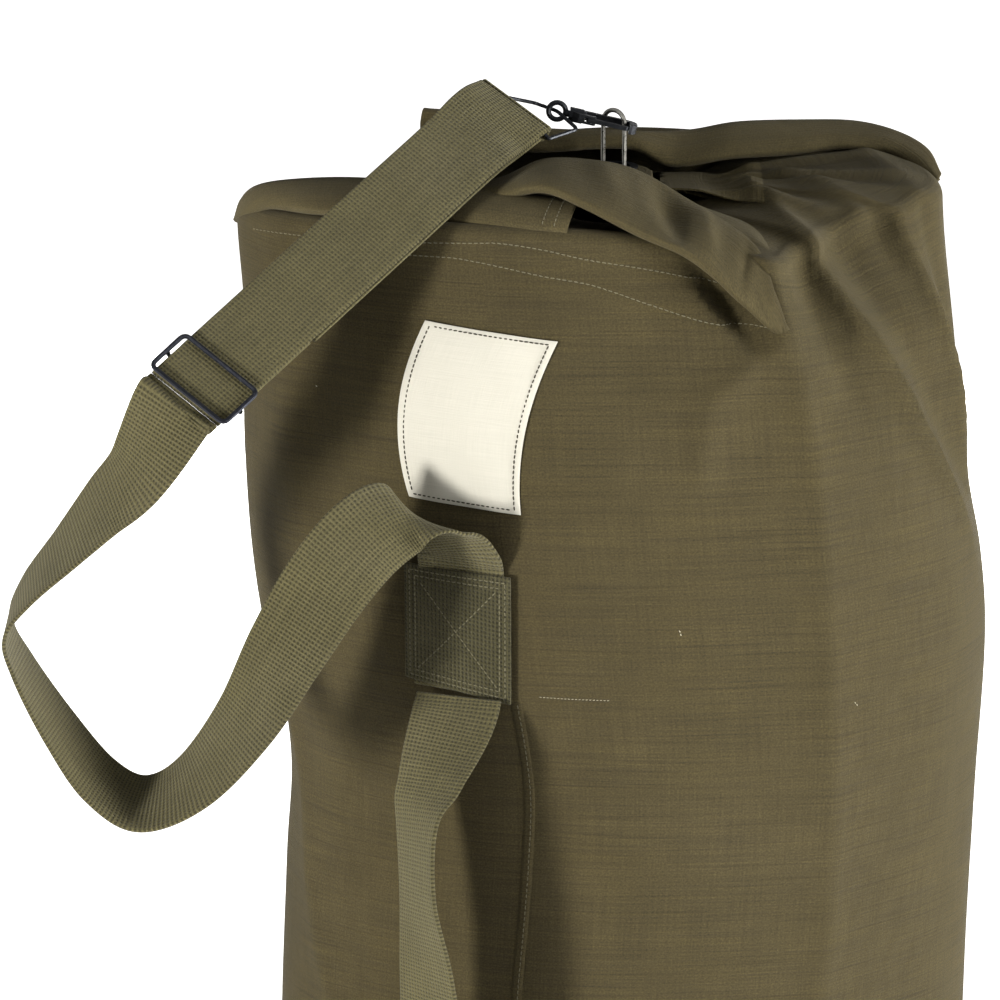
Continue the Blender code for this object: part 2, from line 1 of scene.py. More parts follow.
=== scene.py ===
"""Looks of the canvas duffel bag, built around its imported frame.

Metres, +Z up, in the frame of the CAD: the front of the bag faces -Y and the strap's loop hangs past -X.
"""

import math

import bmesh
import bpy
import numpy as np
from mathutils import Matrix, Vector
from mathutils.bvhtree import BVHTree


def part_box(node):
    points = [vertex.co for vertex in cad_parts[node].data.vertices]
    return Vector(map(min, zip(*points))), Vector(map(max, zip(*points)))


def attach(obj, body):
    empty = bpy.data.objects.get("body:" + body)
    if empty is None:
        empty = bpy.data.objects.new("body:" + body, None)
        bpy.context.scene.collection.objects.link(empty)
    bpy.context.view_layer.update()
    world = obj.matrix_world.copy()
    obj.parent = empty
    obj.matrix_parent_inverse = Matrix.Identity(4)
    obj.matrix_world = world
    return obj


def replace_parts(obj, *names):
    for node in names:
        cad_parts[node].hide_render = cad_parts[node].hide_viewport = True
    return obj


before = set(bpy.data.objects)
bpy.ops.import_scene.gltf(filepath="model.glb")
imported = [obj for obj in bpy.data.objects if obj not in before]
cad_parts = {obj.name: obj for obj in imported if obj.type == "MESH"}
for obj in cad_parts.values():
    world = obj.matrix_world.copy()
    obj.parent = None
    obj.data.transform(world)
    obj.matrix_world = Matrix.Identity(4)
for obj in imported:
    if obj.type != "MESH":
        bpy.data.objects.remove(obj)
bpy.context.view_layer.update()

MM = 0.001
RANDOM = np.random.default_rng(7)
CANVAS_THICK = 1.2 * MM
WEB_WIDTH = 50 * MM
WEB_THICK = 2.2 * MM
FOLD_ROLL = 3 * MM              # radius of a fold's rolled edge
PATCH_LIFT = 5.4 * MM           # outer face of a sewn patch above the canvas
TAIL_LIFT = 3.1 * MM            # outer face of the webbing's ends under a patch
MEAN_RADIUS = 0.176             # of the bag, for the scale of its weave
GIRTH_PER_DEGREE = 0.0034       # metres round the bag for each degree

# Outline of the standing bag: height, left edge, right edge, half depth
OUTLINE = np.array([
    (0.004, -0.178, 0.194, 0.136), (0.03, -0.189, 0.205, 0.145), (0.15, -0.191, 0.206, 0.148),
    (0.33, -0.193, 0.209, 0.15), (0.42, -0.19, 0.212, 0.151), (0.47, -0.187, 0.2146, 0.151),
    (0.5, -0.189, 0.2165, 0.151), (0.564, -0.203, 0.218, 0.151), (0.66, -0.212, 0.206, 0.146),
    (0.747, -0.213, 0.1945, 0.13), (0.79, -0.2165, 0.189, 0.112), (0.84, -0.2175, 0.186, 0.098)])

# Top edge of the canvas round the bag: angle in degrees, height of the edge, height half way in to the staple
RIM = np.array([
    (-180, 0.8, 0.802), (-165, 0.806, 0.801), (-140, 0.809, 0.8), (-115, 0.811, 0.799),
    (-100, 0.81, 0.798), (-85, 0.807, 0.797), (-72, 0.801, 0.797), (-58, 0.793, 0.801),
    (-45, 0.798, 0.807), (-25, 0.807, 0.813), (-5, 0.814, 0.817), (25, 0.8225, 0.82),
    (60, 0.8275, 0.818), (95, 0.825, 0.814), (112, 0.811, 0.806), (130, 0.798, 0.8),
    (155, 0.795, 0.799), (180, 0.8, 0.802)])
HUB_RADIUS = 0.026
HUB_Z = 0.7965
SHOULDER = 9 * MM               # rounding of the top edge


# ---------------------------------------------------------------- numbers and curves
def smooth_interp(x, xs, ys):
    """Smooth curve through known values, without overshoot between the far ends."""
    slopes = np.gradient(ys, xs)
    x = np.clip(x, xs[0], xs[-1])
    i = np.clip(np.searchsorted(xs, x, side="right") - 1, 0, len(xs) - 2)
    step = xs[i + 1] - xs[i]
    t = (x - xs[i]) / step
    start = (1 + 2 * t) * (1 - t) ** 2 * ys[i] + t * (1 - t) ** 2 * step * slopes[i]
    return start + t * t * (3 - 2 * t) * ys[i + 1] + t * t * (t - 1) * step * slopes[i + 1]


def ease(low, high, x):
    """0 below low, 1 above high, and smooth between."""
    t = np.clip((x - low) / (high - low), 0, 1)
    return t * t * (3 - 2 * t)


def through(points, count, axis=0):
    """Catmull-Rom blend of rows of control points, read at evenly spaced stations."""
    points = np.moveaxis(np.asarray(points, float), axis, 0)
    padded = np.concatenate([2 * points[:1] - points[1:2], points, 2 * points[-1:] - points[-2:-1]])
    t = np.linspace(0, len(points) - 1, count)
    i = np.minimum(t.astype(int), len(points) - 2)
    f = (t - i).reshape((-1,) + (1,) * (points.ndim - 1))
    a, b, c, d = (padded[i + k] for k in range(4))
    bend = (2 * a - 5 * b + 4 * c - d) * f * f + (3 * b - a - 3 * c + d) * f ** 3
    return np.moveaxis(0.5 * (2 * b + (c - a) * f + bend), 0, axis)


def unit(v):
    return v / np.maximum(np.linalg.norm(v, axis=-1, keepdims=True), 1e-12)


def along(points):
    """Distance travelled along rows of points."""
    steps = np.linalg.norm(np.diff(points, axis=0), axis=-1)
    return np.concatenate([np.zeros_like(steps[:1]), np.cumsum(steps, axis=0)])


# ---------------------------------------------------------------- meshes
def place(mesh, name, surface):
    made = bpy.data.objects.new(name, mesh)
    made.data.materials.append(surface)
    bpy.context.scene.collection.objects.link(made)
    made.data.shade_smooth()
    return made


def grid_piece(name, points, surface, closed=False, cloth=None, thick=0.0, side=-1.0, turned=False):
    """Sheet through a grid of points. Its UV map holds the cloth's own directions in metres: weft, warp."""
    rows, count = points.shape[:2]
    spans = count if closed else count - 1
    i, j = np.meshgrid(np.arange(rows - 1), np.arange(spans), indexing="ij")
    i, j = i.ravel(), j.ravel()
    k = (j + 1) % count
    faces = np.stack([i * count + j, i * count + k, (i + 1) * count + k, (i + 1) * count + j], axis=1)
    if cloth is None:
        wrapped = np.concatenate([points, points[:, :1]], axis=1)
        across = np.moveaxis(along(np.moveaxis(wrapped, 1, 0)), 0, 1)
        across = across - across[:, count // 2:count // 2 + 1]
        cloth = np.stack([across, along(wrapped)], axis=-1)
        if turned:
            cloth = cloth[..., ::-1]
    mesh = bpy.data.meshes.new(name)
    mesh.from_pydata(points.reshape(-1, 3).tolist(), [], faces.tolist())
    layer = mesh.uv_layers.new(name="cloth")
    corners = np.stack([cloth[i, j], cloth[i, j + 1], cloth[i + 1, j + 1], cloth[i + 1, j]], axis=1)
    layer.data.foreach_set("uv", corners.reshape(-1).astype(np.float32))
    mesh.update()
    made = place(mesh, name, surface)
    if thick:
        solid = made.modifiers.new("thickness", "SOLIDIFY")
        solid.thickness = thick
        solid.offset = side
        solid.use_even_offset = False
    return made


def round_edges(made, width, sharper_than):
    """Small rounding of every edge that turns by more than this many degrees."""
    rounded = made.modifiers.new("edge", "BEVEL")
    rounded.width = width
    rounded.segments = 2
    rounded.limit_method = "ANGLE"
    rounded.angle_limit = math.radians(sharper_than)


def joined(name, shapes, surface):
    """One mesh of many small (points, faces) shapes."""
    points, faces, start = [], [], 0
    for shape_points, shape_faces in shapes:
        points.extend(shape_points)
        faces.extend([tuple(start + k for k in face) for face in shape_faces])
        start += len(shape_points)
    mesh = bpy.data.meshes.new(name)
    mesh.from_pydata([tuple(p) for p in points], [], faces)
    mesh.update()
    return place(mesh, name, surface)


def capsule(start, end, up, radius, flat=0.7):
    """A stitch: a short thread, flattened a little, whose ends dip into the cloth."""
    ahead = unit(end - start)
    side = unit(np.cross(up, ahead))
    length = np.linalg.norm(end - start)
    points, faces = [], []
    rings = ((0.0, 0.35, -0.6), (0.18, 0.9, 0.1), (0.5, 1.0, 0.35), (0.82, 0.9, 0.1), (1.0, 0.35, -0.6))
    sides = 6
    for share, size, lift in rings:
        middle = start + ahead * length * share + up * radius * lift
        for k in range(sides):
            turn = 2 * math.pi * k / sides
            points.append(middle + side * radius * size * math.cos(turn)
                          + up * radius * size * flat * math.sin(turn))
    for r in range(len(rings) - 1):
        for k in range(sides):
            n = (k + 1) % sides
            faces.append((r * sides + k, r * sides + n, (r + 1) * sides + n, (r + 1) * sides + k))
    faces.append(tuple(reversed(range(sides))))
    faces.append(tuple(range((len(rings) - 1) * sides, len(rings) * sides)))
    return points, faces


def stitch_row(path, ups, pitch=3.4 * MM, length=2.5 * MM, radius=0.33 * MM):
    """Stitches spaced evenly along a path of points, each with its own direction out of the cloth."""
    path, ups = np.asarray(path, float), np.asarray(ups, float)
    distance = along(path)
    shapes = []
    for k in range(int((distance[-1] - length) / pitch) + 1):
        places = (k * pitch, k * pitch + length)
        start, end = (np.array([np.interp(s, distance, path[:, c]) for c in range(3)]) for s in places)
        up = unit(np.array([np.interp(sum(places) / 2, distance, ups[:, c]) for c in range(3)]))
        wander = np.cross(up, unit(end - start)) * RANDOM.normal(0, 0.08 * MM)
        shapes.append(capsule(start + wander, end - wander, up, radius))
    return shapes


# ---------------------------------------------------------------- the bag's own surface
def outline_at(height):
    left, right, depth = (smooth_interp(height, OUTLINE[:, 0], OUTLINE[:, k]) for k in (1, 2, 3))
    return (left + right) / 2, (right - left) / 2, depth


def crest(distance, width, height, round_over=0.0025, steep=1.0):
    """Cross-section of a crease: a pointed hill whose top is a little rounded, with its near side steeper."""
    far = np.sqrt(distance ** 2 + round_over ** 2) - round_over
    return height * np.exp(-far / np.where(distance < 0, width * steep, width))


def hump(distance, width):
    return np.exp(-(distance / width) ** 2)


def line_at(height, points):
    """Angle in degrees of a crease at this height, through (height, angle) points."""
    points = np.array(points)
    return np.interp(height, points[:, 0], points[:, 1])


def relief(degrees, height):
    """How far the canvas stands out from its plain outline, in metres."""
    girth = GIRTH_PER_DEGREE
    out = np.zeros_like(height)
    # corner of the front panel, which runs down the whole bag from the front fold
    corner = line_at(height, ((0.0, -60), (0.425, -58), (0.544, -59), (0.66, -57.2), (0.706, -58.5),
                              (0.73, -59), (0.756, -60.6), (0.78, -61.8)))
    strength = 0.0062 + 0.0045 * ease(0.15, 0.45, height) + 0.005 * ease(0.62, 0.75, height)
    out += crest((degrees - corner) * girth, 0.028, 1.0, 0.0008, 0.8) * strength * ease(0.02, 0.2, height)
    # crease that comes down to the front panel from the tip of the fold
    branch = line_at(height, ((0.64, -77.5), (0.667, -76.5), (0.718, -73.5), (0.75, -62)))
    shown = ease(0.64, 0.7, height) * (1 - ease(0.745, 0.775, height))
    out += crest((degrees - branch) * girth, 0.012, 0.0055) * shown
    edge = line_at(height, ((0.74, -66), (0.76, -69.5), (0.787, -74.5), (0.8, -77)))
    under_wing = ease(-1.5, 1.5, degrees - edge) * (1 - ease(-66, -61.5, degrees))
    out -= 0.012 * under_wing * hump(height - 0.768, 0.023)
    out -= 0.009 * hump(degrees + 83, 10) * hump(height - 0.745, 0.04)
    # two creases that cross the right shoulder
    cross = line_at(height, ((0.58, -9), (0.62, -15.4), (0.694, -33.4), (0.734, -40.7), (0.7845, -50),
                             (0.82, -54)))
    strength = 0.0125 * ease(0.585, 0.72, height)
    out += crest((degrees - cross) * girth, 0.019, 1.0, 0.001, 0.38) * strength
    out -= hump((degrees - cross - 8.5) * girth, 0.02) * 0.0065 * ease(0.6, 0.7, height)
    out -= hump((degrees - (cross + corner) / 2) * girth, 0.012) * 0.0065 * ease(0.68, 0.77, height)
    # the right shoulder leans in towards the staple
    out -= 0.03 * ease(0.735, 0.815, height) * ease(-59, -51, degrees) * (1 - ease(-30, -12, degrees))
    side = line_at(height, ((0.62, -8), (0.713, -16.5), (0.748, -21), (0.785, -23.4), (0.83, -25)))
    out += crest((degrees - side) * girth, 0.014, 0.009, 0.0012, 0.7) * ease(0.62, 0.72, height)
    out -= hump((degrees - side - 9) * girth, 0.014) * 0.006 * ease(0.6, 0.7, height)
    # soft folds of the left side
    left = line_at(height, ((0.33, -146), (0.39, -153), (0.5, -165), (0.56, -170)))
    shown = ease(0.3, 0.38, height) * (1 - ease(0.5, 0.6, height))
    out += crest((degrees - left) * girth, 0.014, 0.0035) * shown
    out -= 0.003 * hump(degrees + 140, 9) * hump(height - 0.62, 0.1)
    out += 0.002 * hump(degrees + 150, 6) * hump(height - 0.7, 0.06)
    return out + back_relief(degrees, height) + small_relief(degrees, height)


def back_relief(degrees, height):
    """Soft vertical folds of the back, strongest near the top."""
    out = np.zeros_like(height)
    turned = np.mod(degrees + 360, 360)
    for place, lean, width, size in ((38, 6, 5, 0.005), (62, -5, 4, 0.004), (88, 4, 6, 0.005),
                                     (117, 7, 5, 0.0045), (141, -8, 5, 0.005), (163, 5, 4, 0.004)):
        bent = place + lean * (height - 0.6) / 0.2
        fade = ease(0.3, 0.78, height) * 0.9 + 0.1 * ease(0.03, 0.2, height)
        out += crest((turned - bent) * GIRTH_PER_DEGREE, width * GIRTH_PER_DEGREE, size) * fade
        out -= hump(turned - bent - 9, 6) * size * 0.7 * fade
    return out


def small_relief(degrees, height):
    """Slow waves of slack cloth, the same each run."""
    out = np.zeros_like(height)
    turn = np.radians(degrees)
    ripples = ((3, 9, 0.4, 0.0008), (5, -14, 1.9, 0.0006), (8, 19, 3.1, 0.0004), (13, -30, 5.0, 0.00022),
               (21, 46, 2.2, 0.00012))
    for k, (waves, rise, phase, size) in enumerate(ripples):
        out += size * np.sin(waves * turn + rise * height + phase + 0.6 * np.sin(7 * height + k))
    return out * ease(0.01, 0.12, height)


def wall(degrees, height, offset=0.0):
    """Points on the canvas wall at these angles and heights."""
    degrees, height = np.broadcast_arrays(np.asarray(degrees, float), np.asarray(height, float))
    middle, half_width, half_depth = outline_at(height)
    turn = np.radians(degrees)
    normal = unit(np.stack([np.cos(turn) / half_width, np.sin(turn) / half_depth, np.zeros_like(turn)], -1))
    flat = np.stack([middle + half_width * np.cos(turn), half_depth * np.sin(turn), height], -1)
    return flat + normal * (relief(degrees, height) + offset)[..., None]


def front_angle(x, height):
    middle, half_width, _ = outline_at(np.asarray(height, float))
    return -np.degrees(np.arccos(np.clip((np.asarray(x, float) - middle) / half_width, -1, 1)))


def wall_frame(x, height):
    """Points on the front wall at these places and the directions straight out of the cloth there."""
    x, height = np.broadcast_arrays(np.asarray(x, float), np.asarray(height, float))
    angle = front_angle(x, height)
    step = 0.002
    here = wall(angle, height)
    out = np.cross(wall(front_angle(x + step, height), height) - here, wall(angle, height + step) - here)
    return here, unit(out)


def on_front(x, height, offset=0.0):
    here, out = wall_frame(x, height)
    return here + out * np.asarray(offset)[..., None]


# ---------------------------------------------------------------- materials
class Nodes:
    """A material and short ways to add nodes to it."""

    def __init__(self, name, roughness, metallic=0.0, sheen=0.0, specular=0.5):
        self.made = bpy.data.materials.new(name)
        self.made.use_nodes = True
        self.tree = self.made.node_tree
        self.shader = self.tree.nodes["Principled BSDF"]
        self.shader.inputs["Roughness"].default_value = roughness
        self.shader.inputs["Metallic"].default_value = metallic
        self.shader.inputs["Specular IOR Level"].default_value = specular
        if sheen:
            self.shader.inputs["Sheen Weight"].default_value = sheen
            self.shader.inputs["Sheen Roughness"].default_value = 0.45
            self.shader.inputs["Sheen Tint"].default_value = (0.75, 0.72, 0.6, 1.0)

    def link(self, source, node, socket):
        if isinstance(source, (int, float)):
            node.inputs[socket].default_value = source
        elif isinstance(source, tuple):
            node.inputs[socket].default_value = (*source, 1.0) if len(source) == 3 else source
        else:
            self.tree.links.new(source, node.inputs[socket])

    def add(self, kind, *inputs):
        """A new node with these (socket, value or link) pairs."""
        node = self.tree.nodes.new("ShaderNode" + kind)
        for socket, source in inputs:
            self.link(source, node, socket)
        return node

    def cloth(self, scale=(1, 1, 1)):
        """The cloth's own weft and warp directions, scaled."""
        uv = self.add("UVMap")
        uv.uv_map = "cloth"
        mapping = self.add("Mapping")
        mapping.inputs["Scale"].default_value = scale
        self.tree.links.new(uv.outputs["UV"], mapping.inputs["Vector"])
        return mapping.outputs["Vector"]

    def space(self):
        return self.add("TexCoord").outputs["Object"]

    def noise(self, vector, scale=1.0, detail=2.0, rough=0.5):
        return self.add("TexNoise", ("Vector", vector), ("Scale", scale), ("Detail", detail),
                        ("Roughness", rough)).outputs["Fac"]

    def wave(self, vector, scale, direction="X", distortion=0.0, detail=1.0, detail_scale=1.0):
        node = self.add("TexWave", ("Vector", vector), ("Scale", scale), ("Distortion", distortion),
                        ("Detail", detail), ("Detail Scale", detail_scale))
        node.bands_direction = direction
        return node.outputs["Fac"]

    def math(self, operation, a, b=0.0, c=0.0):
        node = self.add("Math", (0, a), (1, b), (2, c))
        node.operation = operation
        return node.outputs[0]

    def times(self, first, *others):
        for other in others:
            first = self.math("MULTIPLY", first, other)
        return first

    def spread(self, value, low, high, to_low=0.0, to_high=1.0):
        return self.add("MapRange", *enumerate((value, low, high, to_low, to_high))).outputs[0]

    def mix(self, share, a, b):
        node = self.add("Mix")
        node.data_type = "RGBA"
        self.link(share, node, 0)
        self.link(a, node, 6)
        self.link(b, node, 7)
        return node.outputs[2]

    def shade(self, colour, value):
        """The colour made lighter or darker by the value."""
        node = self.add("VectorMath")
        node.operation = "SCALE"
        self.link(colour, node, 0)
        self.link(value, node, 3)
        return node.outputs[0]

    def colour(self, source):
        self.link(source, self.shader, "Base Color")

    def roughness(self, source):
        self.link(source, self.shader, "Roughness")

    def bump(self, height, distance, strength=1.0):
        node = self.add("Bump")
        node.inputs["Distance"].default_value = distance
        node.inputs["Strength"].default_value = strength
        self.link(height, node, "Height")
        current = self.shader.inputs["Normal"].links
        if current:
            self.tree.links.new(current[0].from_socket, node.inputs["Normal"])
        self.tree.links.new(node.outputs["Normal"], self.shader.inputs["Normal"])


def canvas_material(name, tint=(0.047, 0.0366, 0.0135), worn=(0.064, 0.051, 0.022), slub=1.0):
    """Plain-woven canvas: uneven weft with dark and pale slubs, a finer warp, and patches worn paler."""
    m = Nodes(name, 0.88, sheen=0.08, specular=0.22)
    grain = m.noise(m.cloth((950, 950, 1)), 1.0, 2.0, 0.7)
    weft_slub = m.noise(m.cloth((16, 950, 1)), 1.0, 1.5)
    dark_slub = m.noise(m.cloth((12, 520, 1)), 1.0, 1.0)
    weft_thick = m.noise(m.cloth((7, 150, 1)), 1.0, 2.0, 0.55)
    warp_slub = m.noise(m.cloth((1100, 18, 1)), 1.0, 1.5)
    patches = m.noise(m.space(), 7.0, 4.0, 0.55)
    cloudy = m.noise(m.space(), 40.0, 4.0, 0.6)
    light = m.times(m.spread(grain, 0.25, 0.75, 0.55, 1.45),
                    m.spread(weft_slub, 0.2, 0.8, 1 - 0.27 * slub, 1 + 0.27 * slub),
                    m.spread(dark_slub, 0.28, 0.42, 1 - 0.2 * slub, 1.0),
                    m.spread(weft_thick, 0.25, 0.75, 1 - 0.06 * slub, 1 + 0.06 * slub),
                    m.spread(warp_slub, 0.25, 0.75, 0.88, 1.12),
                    m.spread(cloudy, 0.3, 0.7, 0.94, 1.06))
    faded = m.spread(patches, 0.5, 0.8, 0.0, 0.6)
    m.colour(m.shade(m.mix(faded, tint, worn), light))
    m.roughness(m.spread(weft_slub, 0.2, 0.8, 0.8, 0.95))
    weave = m.math("ADD", m.wave(m.cloth(), 520, "X"), m.wave(m.cloth(), 560, "Y"))
    m.bump(weave, 0.00012, 0.8)
    m.bump(m.math("ADD", weft_slub, m.times(dark_slub, 1.2)), 0.0003, 0.8)
    m.bump(m.noise(m.space(), 60.0, 4.0, 0.6), 0.0013, 0.8)
    return m.made


def webbing_material(name, tint=(0.086, 0.076, 0.034)):
    """Webbing in a coarse basket weave: ribs across it, each broken into rows of threads. The colour is
    painted darker in the grooves as painted shade and lighter on the ribs as painted highlight.
    """
    m = Nodes(name, 0.9, sheen=0.15, specular=0.2)
    ribs = m.wave(m.cloth(), 137, "Y", 1.2, 2.0, 25.0)
    strands = m.wave(m.cloth(), 128, "X", 1.2, 2.0, 25.0)
    groove = m.times(m.math("SUBTRACT", 1.0, ribs), m.math("SUBTRACT", 1.0, strands))
    woven = m.math("MULTIPLY_ADD", ribs, 0.25, m.math("SUBTRACT", 0.75, m.times(groove, 0.75)))
    fuzz = m.noise(m.cloth(), 1100.0, 2.0)
    streak = m.noise(m.cloth((260, 30, 1)), 1.0, 2.0)
    slow = m.noise(m.space(), 30.0, 3.0, 0.6)
    # the weave's relief in the colour: painted shade in the grooves, painted highlight on the ribs
    light = m.times(m.spread(woven, 0.1, 1.0, 0.42, 1.22), m.spread(fuzz, 0.25, 0.75, 0.7, 1.32),
                    m.spread(streak, 0.25, 0.75, 0.9, 1.1), m.spread(slow, 0.3, 0.7, 0.92, 1.08))
    faded = m.spread(m.noise(m.space(), 14.0, 3.0), 0.48, 0.8, 0.0, 0.6)
    m.colour(m.shade(m.mix(faded, tint, (0.105, 0.094, 0.052)), light))
    m.bump(woven, 0.0007, 1.0)
    m.bump(fuzz, 0.00015, 0.5)
    return m.made


def label_material():
    m = Nodes("cream_cotton", 0.85, sheen=0.1, specular=0.2)
    weft = m.noise(m.cloth((30, 2100, 1)), 1.0, 1.5)
    warp = m.noise(m.cloth((2100, 40, 1)), 1.0, 1.5)
    fleck = m.noise(m.cloth((160, 900, 1)), 1.0, 2.0, 0.6)
    flecks = m.spread(fleck, 0.73, 0.79, 0.0, 0.45)
    light = m.times(m.spread(weft, 0.2, 0.8, 0.95, 1.04), m.spread(warp, 0.2, 0.8, 0.96, 1.03))
    m.colour(m.shade(m.mix(flecks, (0.48, 0.464, 0.4), (0.3, 0.28, 0.22)), light))
    m.bump(m.math("ADD", weft, warp), 0.0002, 0.7)
    return m.made


def thread_material(name, tint):
    m = Nodes(name, 0.75, sheen=0.3, specular=0.3)
    twist = m.spread(m.noise(m.space(), 900.0, 2.0), 0.3, 0.7, 0.8, 1.15)
    m.colour(m.shade(m.mix(0.0, tint, tint), twist))
    return m.made


def metal_material(name, tint, roughness, worn, metallic=0.85, wear=0.25, grain=0.0004):
    """Blackened or plated metal with a mottled finish, rubbed bright in places."""
    m = Nodes(name, roughness, metallic)
    spots = m.noise(m.space(), 420.0, 5.0, 0.65)
    rubbed = m.spread(m.noise(m.space(), 160.0, 4.0, 0.6), 0.6, 0.78, 0.0, wear)
    m.colour(m.shade(m.mix(rubbed, tint, worn), m.spread(spots, 0.3, 0.7, 0.8, 1.2)))
    m.roughness(m.spread(spots, 0.3, 0.7, roughness - 0.08, roughness + 0.12))
    m.bump(m.noise(m.space(), 900.0, 3.0, 0.6), grain, 0.35)
    return m.made


CANVAS = canvas_material("olive_canvas")
FACING = canvas_material("olive_facing", (0.06, 0.0475, 0.0188), (0.08, 0.065, 0.03), 0.5)
WEBBING = webbing_material("olive_webbing")
# painted shade: both patches get a darker copy of the strap's webbing
SHADED_PATCH_WEBBING = webbing_material("webbing_painted_shade", (0.042, 0.038, 0.017))
LABEL = label_material()
THREAD = thread_material("olive_thread", (0.105, 0.095, 0.052))
PALE_THREAD = thread_material("faded_thread", (0.14, 0.13, 0.082))
LINT = thread_material("lint", (0.36, 0.34, 0.26))
DARK_THREAD = thread_material("dark_thread", (0.03, 0.026, 0.016))
BLACK_METAL = metal_material("blackened_steel", (0.03, 0.032, 0.036), 0.38, (0.16, 0.16, 0.17))
SLIDER_METAL = metal_material("blue_black_steel", (0.026, 0.028, 0.036), 0.42, (0.1, 0.11, 0.14))
PLATED = metal_material("plated_wire", (0.42, 0.41, 0.37), 0.3, (0.6, 0.59, 0.55), 1.0, 0.3, 0.0001)


# ---------------------------------------------------------------- canvas body
def body_canvas():
    """The tube of canvas, its rounded top edge and the cloth gathered in under the folds."""
    seam = front_angle(-0.053, 0.3)
    columns, wall_rows, round_rows, dome_rows = 288, 132, 8, 26
    degrees = seam + np.arange(columns) * 360 / columns
    signed = np.mod(degrees + 180, 360) - 180
    rim = smooth_interp(signed, RIM[:, 0], RIM[:, 1])
    middle_z = smooth_interp(signed, RIM[:, 0], RIM[:, 2])
    low = 0.004
    share = np.linspace(0, 1, wall_rows)[:, None] ** 0.9
    heights = low + (rim - SHOULDER - low) * share
    walls = wall(np.broadcast_to(signed, heights.shape), heights)
    last = walls[-1]
    turn = np.radians(signed)
    hub = np.stack([np.cos(turn), np.sin(turn), np.zeros(columns)], -1) * HUB_RADIUS
    hub[:, 2] = HUB_Z
    inward = hub - last
    inward[:, 2] = 0
    reach = np.linalg.norm(inward, axis=1)
    inward = inward / reach[:, None]
    rows = []
    for k in range(1, round_rows + 1):
        rise = math.pi / 2 * k / round_rows
        row = last + inward * (SHOULDER * (1 - math.cos(rise)))
        row[:, 2] += SHOULDER * math.sin(rise)
        rows.append(row)
    start = rows[-1]
    gathers = np.sin(turn * 19 + 0.8) + 0.6 * np.sin(turn * 31 + 2.0)
    for k in range(1, dome_rows + 1):
        t = k / dome_rows
        row = start + (hub - start) * t
        bow = 4 * t * (1 - t)
        straight = start[:, 2] * (1 - t) + HUB_Z * t
        row[:, 2] = straight + bow * (middle_z - (start[:, 2] + HUB_Z) / 2) + 0.0016 * gathers * bow
        rows.append(row)
    points = np.concatenate([walls, np.array(rows)])
    points[wall_rows:, :, 2] += top_relief(points[wall_rows:])
    lengths = along(points)
    turns = np.arange(columns + 1) * (2 * math.pi * MEAN_RADIUS / columns)
    across = np.broadcast_to(turns, (len(points), columns + 1))
    cloth = np.stack([across, np.concatenate([lengths, lengths[:, :1]], axis=1)], -1)
    made = grid_piece("body_canvas", points, CANVAS, closed=True, cloth=cloth, thick=CANVAS_THICK)
    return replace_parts(made, "body_shell", "mouth_facing")


def top_relief(points):
    """Height of the creases that cross the right half of the top."""
    x, y = points[..., 0], points[..., 1]
    out = np.zeros_like(x)
    for (ax, ay), (bx, by), width, height in (((0.118, -0.088), (0.062, 0.01), 0.01, 0.006),
                                              ((0.15, -0.05), (0.075, 0.022), 0.008, 0.004),
                                              ((0.176, -0.03), (0.14, 0.05), 0.01, 0.004)):
        length = math.hypot(bx - ax, by - ay)
        ux, uy = (bx - ax) / length, (by - ay) / length
        run = (x - ax) * ux + (y - ay) * uy
        off = (x - ax) * uy - (y - ay) * ux
        shown = ease(-0.02, 0.01, run) * (1 - ease(length - 0.02, length + 0.01, run))
        out += crest(off, width, height) * shown
    return out


def bottom():
    """The round bottom panel, with its edge turned up to the wall."""
    degrees = np.linspace(-180, 180, 160, endpoint=False)
    rows = []
    middle, half_width, half_depth = outline_at(np.array(0.004))
    for share, height in ((0.02, 0.0012), (0.5, 0.001), (0.9, 0.0004), (0.975, 0.0003), (1.0, 0.0016),
                          (1.012, 0.004), (1.006, 0.0065)):
        turn = np.radians(degrees)
        rows.append(np.stack([middle + half_width * share * np.cos(turn), half_depth * share * np.sin(turn),
                              np.full_like(turn, height)], -1))
    made = grid_piece("bottom_canvas", np.array(rows), CANVAS, closed=True, thick=CANVAS_THICK)
    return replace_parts(made, "bottom_panel")


def seam_piece():
    """The felled seam down the front, with one row of stitches."""
    heights = np.linspace(0.012, 0.546, 180)
    middle = smooth_interp(heights, np.array([0.0, 0.3, 0.373, 0.409, 0.451, 0.494, 0.521, 0.55]),
                           np.array([-0.053, -0.054, -0.056, -0.053, -0.05, -0.049, -0.052, -0.057]))
    profile = ((-3.4, -0.3), (-3.0, 0.1), (-1.5, 0.28), (1.5, 0.28), (3.0, 0.1), (3.4, -0.3))
    columns = [on_front(middle + x * MM, heights, np.full_like(heights, z * MM)) for x, z in profile]
    strip = grid_piece("side_seam_fell", np.stack(columns, axis=1), CANVAS)
    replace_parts(strip, "side_seam")
    points, ups = wall_frame(middle + 0.8 * MM, heights)
    shapes = stitch_row(points + ups * 0.3 * MM, ups, radius=0.24 * MM)
    rows = joined("seam_stitches", shapes, THREAD)
    return [strip, rows]


